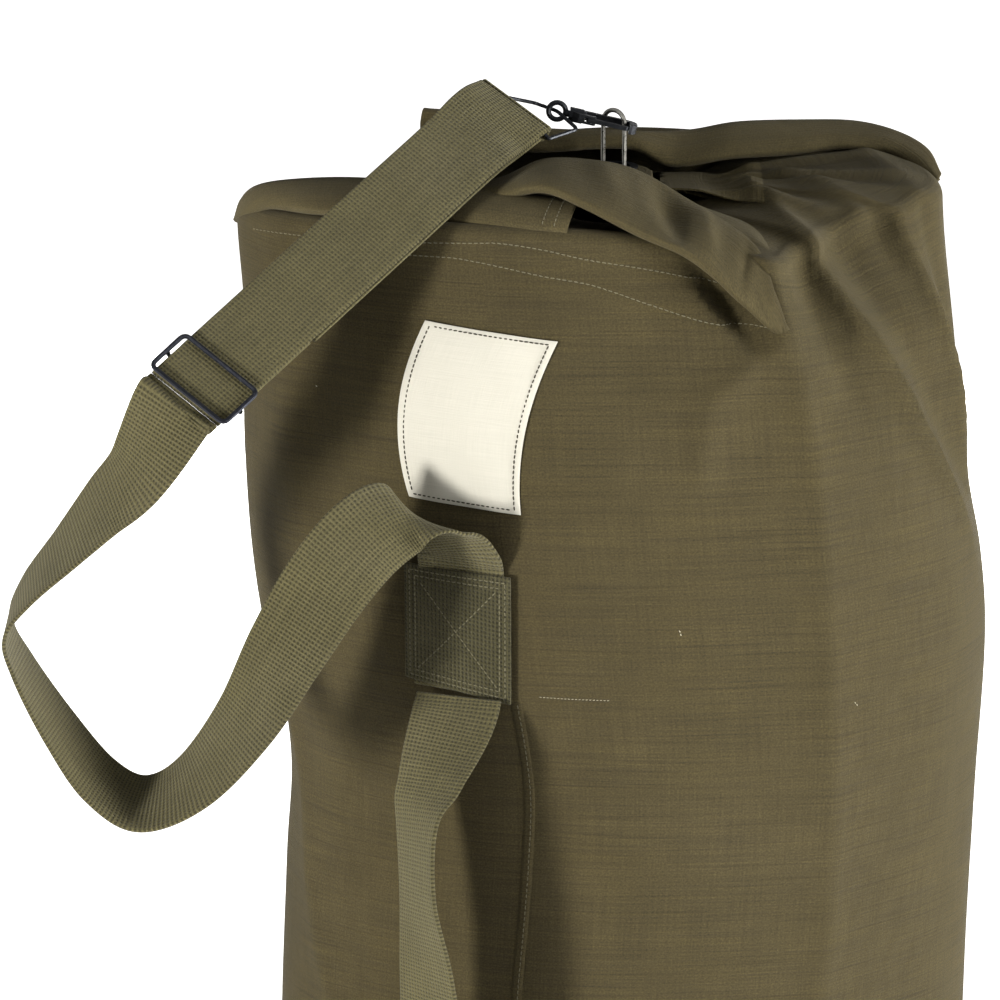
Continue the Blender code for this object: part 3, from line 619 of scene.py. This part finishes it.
# ---------------------------------------------------------------- folds of the mouth
def rolled(name, stations, bulge, replaces, ripples=()):
    """A fold of canvas along stations of (upper line, lower line, where it runs back to).

    Each cross-section comes from behind, goes over the upper line, bulges forward, turns under the lower
    line and ends tucked in behind it. A ripple is (place along, width, height) of a bend across the face."""
    fine, round_it = 120, 56
    stations = through(np.array(stations, float), fine)
    upper, lower, back = stations[:, 0], stations[:, 1], stations[:, 2]
    share_along = np.linspace(0, 1, fine)[:, None]
    lengthwise = unit(np.gradient(upper + lower, axis=0))
    down = lower - upper
    depth = np.linalg.norm(down, axis=1, keepdims=True)
    out = unit(np.cross(down, lengthwise))
    out = np.where(out[:, 1:2] > 0, -out, out)
    radius = np.minimum(FOLD_ROLL, depth * 0.3)
    sections = [back, back * 0.45 + upper * 0.55 + out * radius * 0.2, upper - out * radius * 1.2,
                upper + out * radius * 0.1]
    for share in (0.22, 0.5, 0.78):
        swell = bulge * depth * math.sin(math.pi * share)
        for place_along, width, height in ripples:
            slanted = place_along + 0.035 * (share - 0.5)
            swell = swell + 2 * height * math.sin(math.pi * share) * hump(share_along - slanted, width)
        sections.append(upper + down * share + out * (swell * 0.5 + radius * 0.8))
    sections += [lower + out * radius * 0.25, lower + unit(down) * radius * 0.25 - out * radius * 0.7,
                 lower - unit(down) * radius * 0.6 - out * radius * 1.7,
                 lower - unit(down) * radius * 2.5 - out * radius * 2.2]
    points = through(np.stack(sections, axis=1), round_it, axis=1)
    made = grid_piece(name, points, FACING, thick=CANVAS_THICK, turned=True)
    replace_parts(made, replaces)
    return made, points


def front_fold(top):
    """The wing: it widens from the staple, and its right end turns over the corner into the shoulder."""
    def corner(degrees, height, offset):
        return tuple(wall(degrees, height, offset))

    return rolled("front_fold", [
        ((-0.095, -0.06, 0.824), (-0.096, -0.072, 0.82), (-0.08, -0.036, 0.818)),
        ((-0.0644, -0.06, 0.829), (-0.0667, -0.08, 0.8245), (-0.05, -0.034, 0.82)),
        ((-0.0408, -0.048, 0.8375), (-0.0411, -0.09, 0.831), (-0.03, -0.03, 0.82)),
        ((-0.0147, -0.043, 0.8365), (-0.0179, -0.101, 0.8243), (-0.01, -0.028, 0.818)),
        ((0.0117, -0.048, 0.8318), (0.0125, -0.111, 0.81), (0.015, -0.03, 0.814)),
        ((0.0418, -0.062, 0.817), (0.0373, -0.118, 0.8005), (0.052, -0.04, 0.806)),
        ((0.061, -0.077, 0.808), (0.054, -0.124, 0.789), (0.08, -0.048, 0.8)),
        ((0.0756, -0.092, 0.7995), (0.065, -0.127, 0.778), (0.088, -0.076, top(0.088, -0.076) - 2 * MM)),
        ((0.083, -0.104, 0.7905), (0.0735, -0.1275, 0.77), (0.09, -0.092, top(0.09, -0.092) - 2 * MM)),
        (corner(-62.0, 0.779, 1.0 * MM), (0.081, -0.1275, 0.762), corner(-58.0, 0.779, -3 * MM)),
        (corner(-61.2, 0.767, 0.5 * MM), (0.0875, -0.1265, 0.7565), corner(-58.0, 0.767, -3 * MM)),
        (corner(-60.8, 0.757, 0.0 * MM), (0.092, -0.125, 0.7525), corner(-59.0, 0.757, -3 * MM)),
    ], 0.05, "top_fold_front", ((0.31, 0.03, 0.0022), (0.42, 0.028, -0.006), (0.5, 0.03, 0.0028),
                                (0.64, 0.025, -0.0015)))


def left_fold():
    """The roll of the left fold, from the corner of the bag to its hemmed end over the front edge."""
    return rolled("left_fold", [
        ((-0.2155, 0.002, 0.793), (-0.213, -0.012, 0.793), (-0.205, 0.02, 0.795)),
        ((-0.212, -0.012, 0.808), (-0.204, -0.034, 0.8045), (-0.19, 0.024, 0.8)),
        ((-0.202, -0.023, 0.818), (-0.193, -0.05, 0.8115), (-0.174, 0.022, 0.802)),
        ((-0.179, -0.034, 0.8235), (-0.17, -0.074, 0.815), (-0.146, 0.012, 0.806)),
        ((-0.1467, -0.045, 0.8265), (-0.1428, -0.086, 0.816), (-0.115, -0.005, 0.81)),
        ((-0.11, -0.057, 0.8262), (-0.1094, -0.085, 0.813), (-0.085, -0.015, 0.813)),
        ((-0.0711, -0.07, 0.8252), (-0.076, -0.096, 0.812), (-0.056, -0.03, 0.816)),
        ((-0.04, -0.078, 0.8225), (-0.048, -0.103, 0.8098), (-0.032, -0.045, 0.815)),
        ((-0.02, -0.082, 0.821), (-0.0275, -0.105, 0.8088), (-0.012, -0.055, 0.814)),
    ], 0.12, "top_fold_left")


def back_fold():
    """The back fold stands up behind the others, its front edge rolled under and dipping near the staple."""
    return rolled("back_fold", [
        ((-0.109, 0.052, 0.848), (-0.111, 0.046, 0.837), (-0.098, 0.09, 0.81)),
        ((-0.085, 0.048, 0.8465), (-0.08, 0.03, 0.831), (-0.08, 0.094, 0.815)),
        ((-0.045, 0.034, 0.84), (-0.043, 0.016, 0.832), (-0.045, 0.097, 0.82)),
        ((0.0039, 0.028, 0.8385), (0.008, 0.015, 0.835), (0.0000, 0.099, 0.821)),
        ((0.043, 0.04, 0.8375), (0.033, 0.015, 0.8235), (0.043, 0.097, 0.821)),
        ((0.0728, 0.05, 0.8404), (0.0661, 0.02, 0.8272), (0.08, 0.096, 0.822)),
        ((0.1118, 0.062, 0.8392), (0.1016, 0.03, 0.8278), (0.12, 0.086, 0.822)),
        ((0.143, 0.068, 0.837), (0.13, 0.04, 0.8295), (0.145, 0.076, 0.821)),
        ((0.167, 0.06, 0.832), (0.156, 0.04, 0.8275), (0.165, 0.06, 0.819)),
        ((0.183, 0.044, 0.825), (0.174, 0.028, 0.82), (0.179, 0.04, 0.813)),
        ((0.189, 0.024, 0.814), (0.185, 0.012, 0.811), (0.185, 0.02, 0.805)),
    ], 0.1, "top_fold_back")


def right_fold(top):
    """The right fold lies on the gathered canvas and runs in under the back fold to the staple."""
    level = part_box("grommet_right")[0].z + 1.2 * MM
    rows = []
    for share in np.linspace(0, 1, 60):
        x = 0.09 - (0.09 - 0.0125) * share
        half = 0.036 - 0.016 * share ** 0.7
        row = []
        for t in np.linspace(-1, 1, 44):
            y = -0.006 * (1 - share) + half * t
            flat = ease(0.08, 0.045, x) if x < 0.08 else 0.0
            lift = -0.8 * MM + 2.6 * MM * ease(0.0, 0.18, share)
            ground = top(x, y) + lift
            row.append((x, y, ground + (level - ground) * flat))
        rows.append(row)
    made = grid_piece("right_fold", np.array(rows), FACING, thick=CANVAS_THICK)
    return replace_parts(made, "top_fold_right")


def tongue(name, toward_degrees, level, reach=0.06, half=0.022, hole=0.0117):
    """Where a fold lies round the staple: a flat tongue with the grommet's hole through it."""
    toward = math.radians(toward_degrees)
    turns = np.linspace(0, 2 * math.pi, 96, endpoint=False)
    outer = np.full_like(turns, 0.0205)
    for k, turn in enumerate(turns):
        c, s = math.cos(turn), abs(math.sin(turn))
        if c > 0:
            outer[k] = max(outer[k], min(reach / max(c, 1e-6), half / max(s, 1e-6)))
    rows = []
    for share in np.linspace(0, 1, 14):
        radius = hole + (outer - hole) * share
        x, y = radius * np.cos(turns), radius * np.sin(turns)
        drop = -0.006 * ease(0.03, reach, x)
        rows.append(np.stack([x * math.cos(toward) - y * math.sin(toward),
                              x * math.sin(toward) + y * math.cos(toward), level + drop], -1))
    return grid_piece(name, np.array(rows), FACING, closed=True, thick=1.7 * MM, side=1)


def surface_under(made):
    """Height of a piece's upper surface over a place on the ground plane."""
    faces = [tuple(face.vertices) for face in made.data.polygons]
    tree = BVHTree.FromPolygons([tuple(v.co) for v in made.data.vertices], faces)

    def height(x, y):
        hit = tree.ray_cast(Vector((x, y, 1.0)), Vector((0, 0, -1)))[0]
        return hit.z if hit else HUB_Z

    return height


def mouth(body):
    """The four folds, their tongues round the staple, and the hem stitches at the left fold's end."""
    top = surface_under(body)
    left, points = left_fold()
    made = [front_fold(top)[0], left, back_fold()[0], right_fold(top)]
    for side, turn, node in (("front", -90, "grommet_front"), ("left", 180, "grommet_left"),
                             ("right", 0, "grommet_right")):
        low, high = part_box(node)
        made.append(tongue(side + "_tongue", turn, (low.z + high.z) / 2 - 0.85 * MM))
    made.append(tongue("back_tongue", 90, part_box("staple_washer")[1].z + 0.3 * MM))
    shapes = []
    for station in (-7, -12):
        path = points[station, 15:38]
        ups = np.broadcast_to(unit(np.array((0.15, -0.95, 0.25))), path.shape)
        shapes += stitch_row(path + ups * 0.3 * MM, ups, 3.0 * MM, 2.1 * MM, 0.27 * MM)
    return made, joined("hem_stitches", shapes, PALE_THREAD)


# ---------------------------------------------------------------- pieces sewn on the front
def wall_sheet(name, outline, offset, surface, thick, bow_left=0.0, bow_right=0.0, ripple=0.0, turned=False):
    """Sheet on the front wall between its lower left, lower right, upper right and upper left corners."""
    ll, lr, ur, ul = (np.array(c) for c in outline)
    t = np.linspace(0, 1, 44)[:, None]
    left = ll + (ul - ll) * t + np.array([bow_left, 0]) * (4 * t * (1 - t))
    right = lr + (ur - lr) * t + np.array([bow_right, 0]) * (4 * t * (1 - t))
    s = np.linspace(0, 1, 40)[None, :, None]
    flat = left[:, None] * (1 - s) + right[:, None] * s
    lift = np.full(flat.shape[:2], offset)
    if ripple:
        lift = lift + ripple * (1 + np.sin(flat[..., 0] * 190 + flat[..., 1] * 60)) / 2
    points = on_front(flat[..., 0], flat[..., 1], lift)
    made = grid_piece(name, points, surface, thick=thick, turned=turned)
    round_edges(made, thick * 0.3, 50)
    return made, flat


def edge_path(flat, inset):
    """Closed path a little inside a sheet's edge, as places on the wall."""
    rows, count = flat.shape[:2]
    height = np.linalg.norm(flat[-1, 0] - flat[0, 0])
    width = np.linalg.norm(flat[0, -1] - flat[0, 0])
    r, c = max(1, round(inset / height * rows)), max(1, round(inset / width * count))
    inner = flat[r:rows - r, c:count - c]
    return [inner[0], inner[:, -1], inner[-1, ::-1], inner[::-1, 0]]


def sewn_path(path, offset):
    points, ups = wall_frame(path[:, 0], path[:, 1])
    return points + ups * offset, ups


def label():
    """The blank cotton label, sewn on all round."""
    thick = 0.8 * MM
    lift = 1.3 * MM
    corners = ((-0.1155, 0.661), (-0.053, 0.6555), (-0.033, 0.7505), (-0.106, 0.759))
    made, flat = wall_sheet("label_cloth", corners, lift, LABEL, thick, -0.0105, -0.0075, 0.5 * MM)
    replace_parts(made, "label")
    shapes = []
    for path in edge_path(flat, 2.6 * MM):
        points, ups = sewn_path(path, lift + 0.35 * MM)
        shapes += stitch_row(points, ups, 2.9 * MM, 2.3 * MM, 0.42 * MM)
    stitches = joined("label_stitches", shapes, DARK_THREAD)
    return [made, stitches]


def patch(name, node, corners):
    """A square of webbing, painted darker than the strap's as painted shade, with two rows of stitches round
    it and a cross of stitches.
    """
    made, flat = wall_sheet(name, corners, PATCH_LIFT, SHADED_PATCH_WEBBING, WEB_THICK, turned=True)
    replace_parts(made, node)
    paths = edge_path(flat, 2.5 * MM) + edge_path(flat, 5.5 * MM)
    inner = flat[5:-5, 5:-5]
    for start, end in ((inner[0, 0], inner[-1, -1]), (inner[0, -1], inner[-1, 0])):
        paths.append(start + (end - start) * np.linspace(0, 1, 30)[:, None])
    shapes = []
    for path in paths:
        points, ups = sewn_path(path, PATCH_LIFT + 0.1 * MM)
        shapes += stitch_row(points, ups, 3.2 * MM, 2.4 * MM)
    stitches = joined(name + "_stitches", shapes, THREAD)
    return [made, stitches]


def patches():
    """The two sewn patches and the three ends of webbing under them."""
    made = patch("strap_patch_webbing", "strap_patch",
                 ((-0.116, 0.5575), (-0.058, 0.5465), (-0.058, 0.6205), (-0.117, 0.624)))
    made += patch("handle_patch_webbing", "handle_lower_patch",
                  ((-0.128, 0.165), (-0.07, 0.165), (-0.07, 0.233), (-0.128, 0.233)))
    for name, node, corners in (
            ("strap_tail", "strap_sewn_end",
             ((-0.112, 0.59), (-0.063, 0.587), (-0.063, 0.6175), (-0.112, 0.6225))),
            ("handle_top_tail", "handle_upper_end",
             ((-0.112, 0.553), (-0.063, 0.55), (-0.063, 0.586), (-0.112, 0.589))),
            ("handle_low_tail", "handle_lower_end",
             ((-0.124, 0.175), (-0.074, 0.175), (-0.074, 0.2345), (-0.124, 0.2345)))):
        tail, _ = wall_sheet(name, corners, TAIL_LIFT, WEBBING, WEB_THICK)
        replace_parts(tail, node)
        made.append(tail)
    return made


def band_stitches():
    """Two rows that hold the facing inside the top edge, and the pale threads caught in the canvas."""
    shapes = []
    for row in (((-0.2048, 0.7956), (-0.1857, 0.7969), (-0.085, 0.801), (-0.0644, 0.8015), (-0.0411, 0.7985),
                 (-0.0178, 0.7935), (0.0134, 0.7885), (0.039, 0.7835), (0.0596, 0.7785)),
                ((-0.15, 0.7925), (-0.0973, 0.793), (-0.08, 0.7915), (-0.0644, 0.789), (-0.0411, 0.7845),
                 (-0.0178, 0.7806), (-0.0023, 0.776), (0.0193, 0.7686), (0.0533, 0.7589), (0.085, 0.757))):
        path = through(row, 260)
        points, ups = sewn_path(path, 0.25 * MM)
        shapes += stitch_row(points, ups, 3.3 * MM, 2.3 * MM, 0.27 * MM)
    rows = joined("band_stitches", shapes, PALE_THREAD)
    caught = []
    for row, radius in ((((-0.043, 0.5507), (-0.026, 0.5502), (-0.003, 0.55)), 0.17),
                        (((0.035, 0.5905), (0.0364, 0.586)), 0.3), (((0.131, 0.543), (0.1334, 0.54)), 0.25),
                        (((-0.17, 0.715), (-0.168, 0.714)), 0.3)):
        path = through(row, 60)
        points, ups = sewn_path(path, 0.1 * MM)
        caught += stitch_row(points, ups, 2.0 * MM, 1.2 * MM, radius * MM)
    return [rows, joined("caught_threads", caught, LINT)]


# ---------------------------------------------------------------- webbing
def ribbon(name, stations, fine=160, width=WEB_WIDTH, crown=0.0, smooth=True):
    """Webbing with rounded selvedges along stations of (centre, direction across), and its length."""
    stations = np.array(stations, float)
    path = through(stations, fine) if smooth else stations
    centre = path[:, 0]
    ahead = unit(np.gradient(centre, axis=0))
    across = path[:, 1]
    across = unit(across - np.sum(across * ahead, axis=1, keepdims=True) * ahead)
    face = np.cross(across, ahead)
    half, depth = width / 2, WEB_THICK / 2
    around = []
    for x in np.linspace(-1, 1, 19):
        around.append((x * (half - depth), depth * (1 + crown * (1 - x * x))))
    for turn in np.linspace(60, -60, 5):
        turn = math.radians(turn)
        around.append((half - depth + depth * math.cos(turn), depth * math.sin(turn)))
    for x in np.linspace(1, -1, 19):
        around.append((x * (half - depth), -depth * (1 - crown * (1 - x * x))))
    for turn in np.linspace(-120, -240, 5):
        turn = math.radians(turn)
        around.append((-half + depth + depth * math.cos(turn), depth * math.sin(turn)))
    around = np.array(around)
    points = centre[:, None] + across[:, None] * around[None, :, :1] + face[:, None] * around[None, :, 1:]
    run = along(centre)
    wrapped = np.concatenate([around, around[:1]])
    cloth = np.stack([np.broadcast_to(wrapped[:, 0], (len(points), len(wrapped))),
                      np.broadcast_to(run[:, None], (len(points), len(wrapped)))], -1)
    made = grid_piece(name, points, WEBBING, closed=True, cloth=cloth)
    close_ends(made)
    return made, run[-1]


def close_ends(made):
    shape = bmesh.new()
    shape.from_mesh(made.data)
    bmesh.ops.holes_fill(shape, edges=[e for e in shape.edges if e.is_boundary])
    bmesh.ops.recalc_face_normals(shape, faces=shape.faces)
    shape.to_mesh(made.data)
    shape.free()


# The doubled run of the strap, its bend over to the wire loop, and the directions across the webbing there
RUN_LOW = np.array((-0.2262, -0.188, 0.7424))
RUN_HIGH = np.array((-0.0857, -0.074, 0.851))
RUN_AHEAD = unit(RUN_HIGH - RUN_LOW)
RUN_ACROSS = np.array((0.745, -0.445, -0.497))
RUN_ACROSS = unit(RUN_ACROSS - RUN_ACROSS.dot(RUN_AHEAD) * RUN_AHEAD)
RUN_FACE = unit(np.cross(RUN_ACROSS, RUN_AHEAD))
STRAP_BEND = np.array((-0.0699, -0.051, 0.8606))
STRAP_TOP = np.array((-0.057, -0.03, 0.865))
BEND_ACROSS = (0.79, -0.16, -0.59)
TOP_ACROSS = (0.89, -0.11, -0.44)
UNDER_DROP = 8.5 * MM           # from the outer layer of the run to the one under it
SLIDER_CLEAR = 15.95 * MM       # from the middle of the slider to the strap beyond its frame


def strap_upper():
    """The doubled run of the strap from slider to wire loop, and the end sewn round the slider's bar."""
    run = [RUN_LOW + (RUN_HIGH - RUN_LOW) * t for t in (0.35, 0.7)]
    front = [(RUN_LOW - RUN_AHEAD * 15.35 * MM, RUN_ACROSS), (run[0], RUN_ACROSS), (run[1], RUN_ACROSS),
             (RUN_HIGH, RUN_ACROSS), (STRAP_BEND, BEND_ACROSS), (STRAP_TOP, TOP_ACROSS)]
    outer, _ = ribbon("strap_front_webbing", front, 150, crown=0.15)
    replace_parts(outer, "strap_front_run")
    ahead = unit(STRAP_TOP - STRAP_BEND)
    across = unit(np.array(TOP_ACROSS) - np.dot(TOP_ACROSS, ahead) * ahead)
    face = unit(np.cross(across, ahead))
    drop = -RUN_FACE * UNDER_DROP
    under = [(RUN_LOW + RUN_AHEAD * 64 * MM + drop, RUN_ACROSS), (run[1] + drop, RUN_ACROSS),
             (RUN_HIGH + drop, RUN_ACROSS), (STRAP_BEND + (drop - face * UNDER_DROP) / 2, BEND_ACROSS),
             (STRAP_TOP - face * UNDER_DROP, TOP_ACROSS)]
    inner, _ = ribbon("strap_under_webbing", under, 110, 47 * MM)
    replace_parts(inner, "strap_under_run")
    middle = STRAP_TOP - face * UNDER_DROP / 2 + ahead * 1.4 * MM
    reach = UNDER_DROP / 2
    turns = np.linspace(0, math.pi, 24)
    over = [(middle + face * reach * math.cos(t) + ahead * reach * math.sin(t), across) for t in turns]
    turn, _ = ribbon("strap_turn_webbing", over, width=48.5 * MM, smooth=False)
    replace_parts(turn, "strap_top_fold")
    sewn = [(RUN_LOW + RUN_AHEAD * share * 60 * MM - RUN_FACE * 5.7 * MM, RUN_ACROSS)
            for share in np.linspace(-0.07, 1.0, 12)]
    end, _ = ribbon("strap_end_webbing", sewn, width=47 * MM, smooth=False)
    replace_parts(end, "strap_end")
    return [outer, inner, turn], end


# Stations of the free webbing: (centre, direction across)
STRAP_LOOP = [
    (RUN_LOW - RUN_AHEAD * (SLIDER_CLEAR + 0.35 * MM), RUN_ACROSS),
    (RUN_LOW - RUN_AHEAD * (SLIDER_CLEAR + 5 * MM), RUN_ACROSS),
    (RUN_LOW - RUN_AHEAD * (SLIDER_CLEAR + 10 * MM), RUN_ACROSS),
    ((-0.262, -0.205, 0.697), (0.62, -0.72, -0.28)), ((-0.281, -0.201, 0.676), (0.48, -0.85, -0.2)),
    ((-0.303, -0.198, 0.651), (0.3, -0.94, -0.12)), ((-0.325, -0.196, 0.626), (0.14, -0.99, -0.05)),
    ((-0.3355, -0.196, 0.605), (0.00, -1.00, 0.03)), ((-0.328, -0.196, 0.583), (-0.14, -0.98, 0.05)),
    ((-0.308, -0.197, 0.548), (-0.24, -0.96, -0.05)), ((-0.286, -0.198, 0.518), (-0.26, -0.94, -0.18)),
    ((-0.262, -0.2, 0.5055), (-0.06, -0.92, -0.36)), ((-0.233, -0.205, 0.521), (0.3, -0.88, -0.34)),
    ((-0.205, -0.205, 0.555), (0.55, -0.76, -0.33)), ((-0.182, -0.2, 0.595), (0.74, -0.54, -0.38)),
    ((-0.16, -0.192, 0.629), (0.82, -0.34, -0.46)), ((-0.138, -0.181, 0.653), (0.84, -0.22, -0.5)),
    ((-0.118, -0.167, 0.661), (0.86, -0.2, -0.46)), ((-0.1, -0.155, 0.65), (0.9, -0.22, -0.34)),
    ((-0.0895, -0.1465, 0.636), (0.95, -0.26, -0.14)), ((-0.087, -0.1395, 0.626), (0.95, -0.28, -0.04)),
    ((-0.087, -0.1368, 0.616), (0.95, -0.3, 0.0))]

HANDLE = [
    ((-0.088, -0.143, 0.55), (0.95, -0.28, 0.0)), ((-0.092, -0.154, 0.538), (0.9, -0.4, -0.12)),
    ((-0.1035, -0.172, 0.51), (0.62, -0.77, -0.1)), ((-0.111, -0.182, 0.49), (0.43, -0.9, -0.04)),
    ((-0.111, -0.19, 0.45), (0.4, -0.92, 0.0)), ((-0.1065, -0.193, 0.41), (0.58, -0.81, 0.0)),
    ((-0.103, -0.191, 0.365), (0.72, -0.69, 0.0)), ((-0.1, -0.184, 0.3), (0.93, -0.36, 0.0)),
    ((-0.099, -0.166, 0.262), (0.95, -0.3, 0.0)), ((-0.099, -0.145, 0.235), (0.95, -0.3, 0.0))]


def strap_parts():
    """All the webbing that isn't under a patch."""
    uppers, end = strap_upper()
    loop, loop_length = ribbon("strap_loop_webbing", STRAP_LOOP, 420)
    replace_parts(loop, "strap_loop")
    handle, handle_length = ribbon("handle_strap", HANDLE, 220)
    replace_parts(handle, "handle_webbing")
    for made in [*uppers, loop, handle]:
        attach(made, "bag")
    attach(end, "slider")


# ---------------------------------------------------------------- finish of the metal pieces
def metalwork():
    """Materials and softened edges for the metal nodes, which keep their own shape."""
    for name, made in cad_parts.items():
        surface = None
        if name.startswith(("staple", "gate_spring")):
            surface = PLATED
        elif name.startswith("slider"):
            surface = SLIDER_METAL
        elif name.startswith(("hook", "gate", "stud", "strap_wire", "grommet")):
            surface = BLACK_METAL
        if surface:
            made.data.materials.clear()
            made.data.materials.append(surface)
            made.data.shade_smooth()
            made.data.set_sharp_from_angle(angle=math.radians(40))
            round_edges(made, 0.25 * MM, 40)
        if name == "staple_wire":       # bare wire: a hair thinner, so that the swivelled hook clears it
            bare = made.modifiers.new("bare_wire", "DISPLACE")
            bare.strength = -0.15 * MM
            bare.mid_level = 0.0


# ---------------------------------------------------------------- camera, light and floor
def look(obj, target):
    obj.rotation_euler = (Vector(target) - obj.location).to_track_quat("-Z", "Y").to_euler()


def camera():
    """A long lens in front of the bag, a little above it; it sees 0.58 m across at the target."""
    data = bpy.data.cameras.new("camera")
    data.sensor_width = 36
    distance, seen = 3.5, 0.58
    data.lens = data.sensor_width * distance / seen
    made = bpy.data.objects.new("camera", data)
    target = Vector((-0.065, 0, 0.627))
    tilt = math.radians(14.5)
    made.location = target + Vector((0, -math.cos(tilt), math.sin(tilt))) * distance
    bpy.context.scene.collection.objects.link(made)
    look(made, target)
    bpy.context.scene.camera = made


def softbox(name, place_at, target, size, power, colour=(1, 1, 1)):
    data = bpy.data.lights.new(name, "AREA")
    data.shape = "RECTANGLE"
    data.size, data.size_y = size
    data.energy = power
    data.color = colour
    made = bpy.data.objects.new(name, data)
    made.location = place_at
    bpy.context.scene.collection.objects.link(made)
    look(made, target)


def studio():
    """Even pale surroundings, three soft lights, and a floor that glows towards the back like a lit sweep."""
    world = bpy.data.worlds.new("studio")
    bpy.context.scene.world = world
    world.use_nodes = True
    tree = world.node_tree
    coord = tree.nodes.new("ShaderNodeTexCoord")
    split = tree.nodes.new("ShaderNodeSeparateXYZ")
    ramp = tree.nodes.new("ShaderNodeMapRange")
    for socket, value in ((1, 0.02), (2, 0.8), (3, 0.2), (4, 0.36)):
        ramp.inputs[socket].default_value = value
    tree.links.new(coord.outputs["Generated"], split.inputs[0])
    tree.links.new(split.outputs["Z"], ramp.inputs[0])
    tree.links.new(ramp.outputs[0], tree.nodes["Background"].inputs["Strength"])
    tree.nodes["Background"].inputs["Color"].default_value = (1, 1, 1, 1)
    softbox("key", (-2.35, -2.35, 0.42), (0, 0, 0.55), (0.42, 0.55), 150, (1.0, 0.98, 0.95))
    softbox("fill", (2.85, -1.1, 0.8), (0, 0, 0.55), (1.2, 1.6), 200, (1.0, 0.99, 0.97))
    softbox("back", (0.4, 3.0, 0.45), (0, 0, 0.4), (1.6, 0.8), 60)
    bpy.ops.mesh.primitive_circle_add(vertices=96, radius=14, fill_type="NGON", location=(0, 0, -0.0005))
    floor = bpy.context.object
    floor.name = "floor"
    pale = Nodes("pale_floor", 0.9, specular=0.1)
    pale.colour((0.9, 0.895, 0.885))
    pale.shader.inputs["Emission Color"].default_value = (1, 0.995, 0.985, 1)
    along_y = pale.add("SeparateXYZ")
    pale.tree.links.new(pale.space(), along_y.inputs[0])
    pale.link(pale.spread(along_y.outputs["Y"], 0.2, 1.5, 0.02, 0.92), pale.shader, "Emission Strength")
    floor.data.materials.append(pale.made)
    bpy.context.scene.view_settings.view_transform = "Standard"


# ---------------------------------------------------------------- all of it
camera()
body = body_canvas()
folds, hem = mouth(body)
canvas_pieces = [body, bottom(), *folds]
seam = seam_piece()
canvas_pieces.append(seam[0])
for made in canvas_pieces:
    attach(made, "bag")
label_pieces = label()
sewn_pieces = patches()
for made in [seam[1], hem, *band_stitches(), *label_pieces, *sewn_pieces]:
    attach(made, "bag")
strap_parts()
metalwork()
studio()
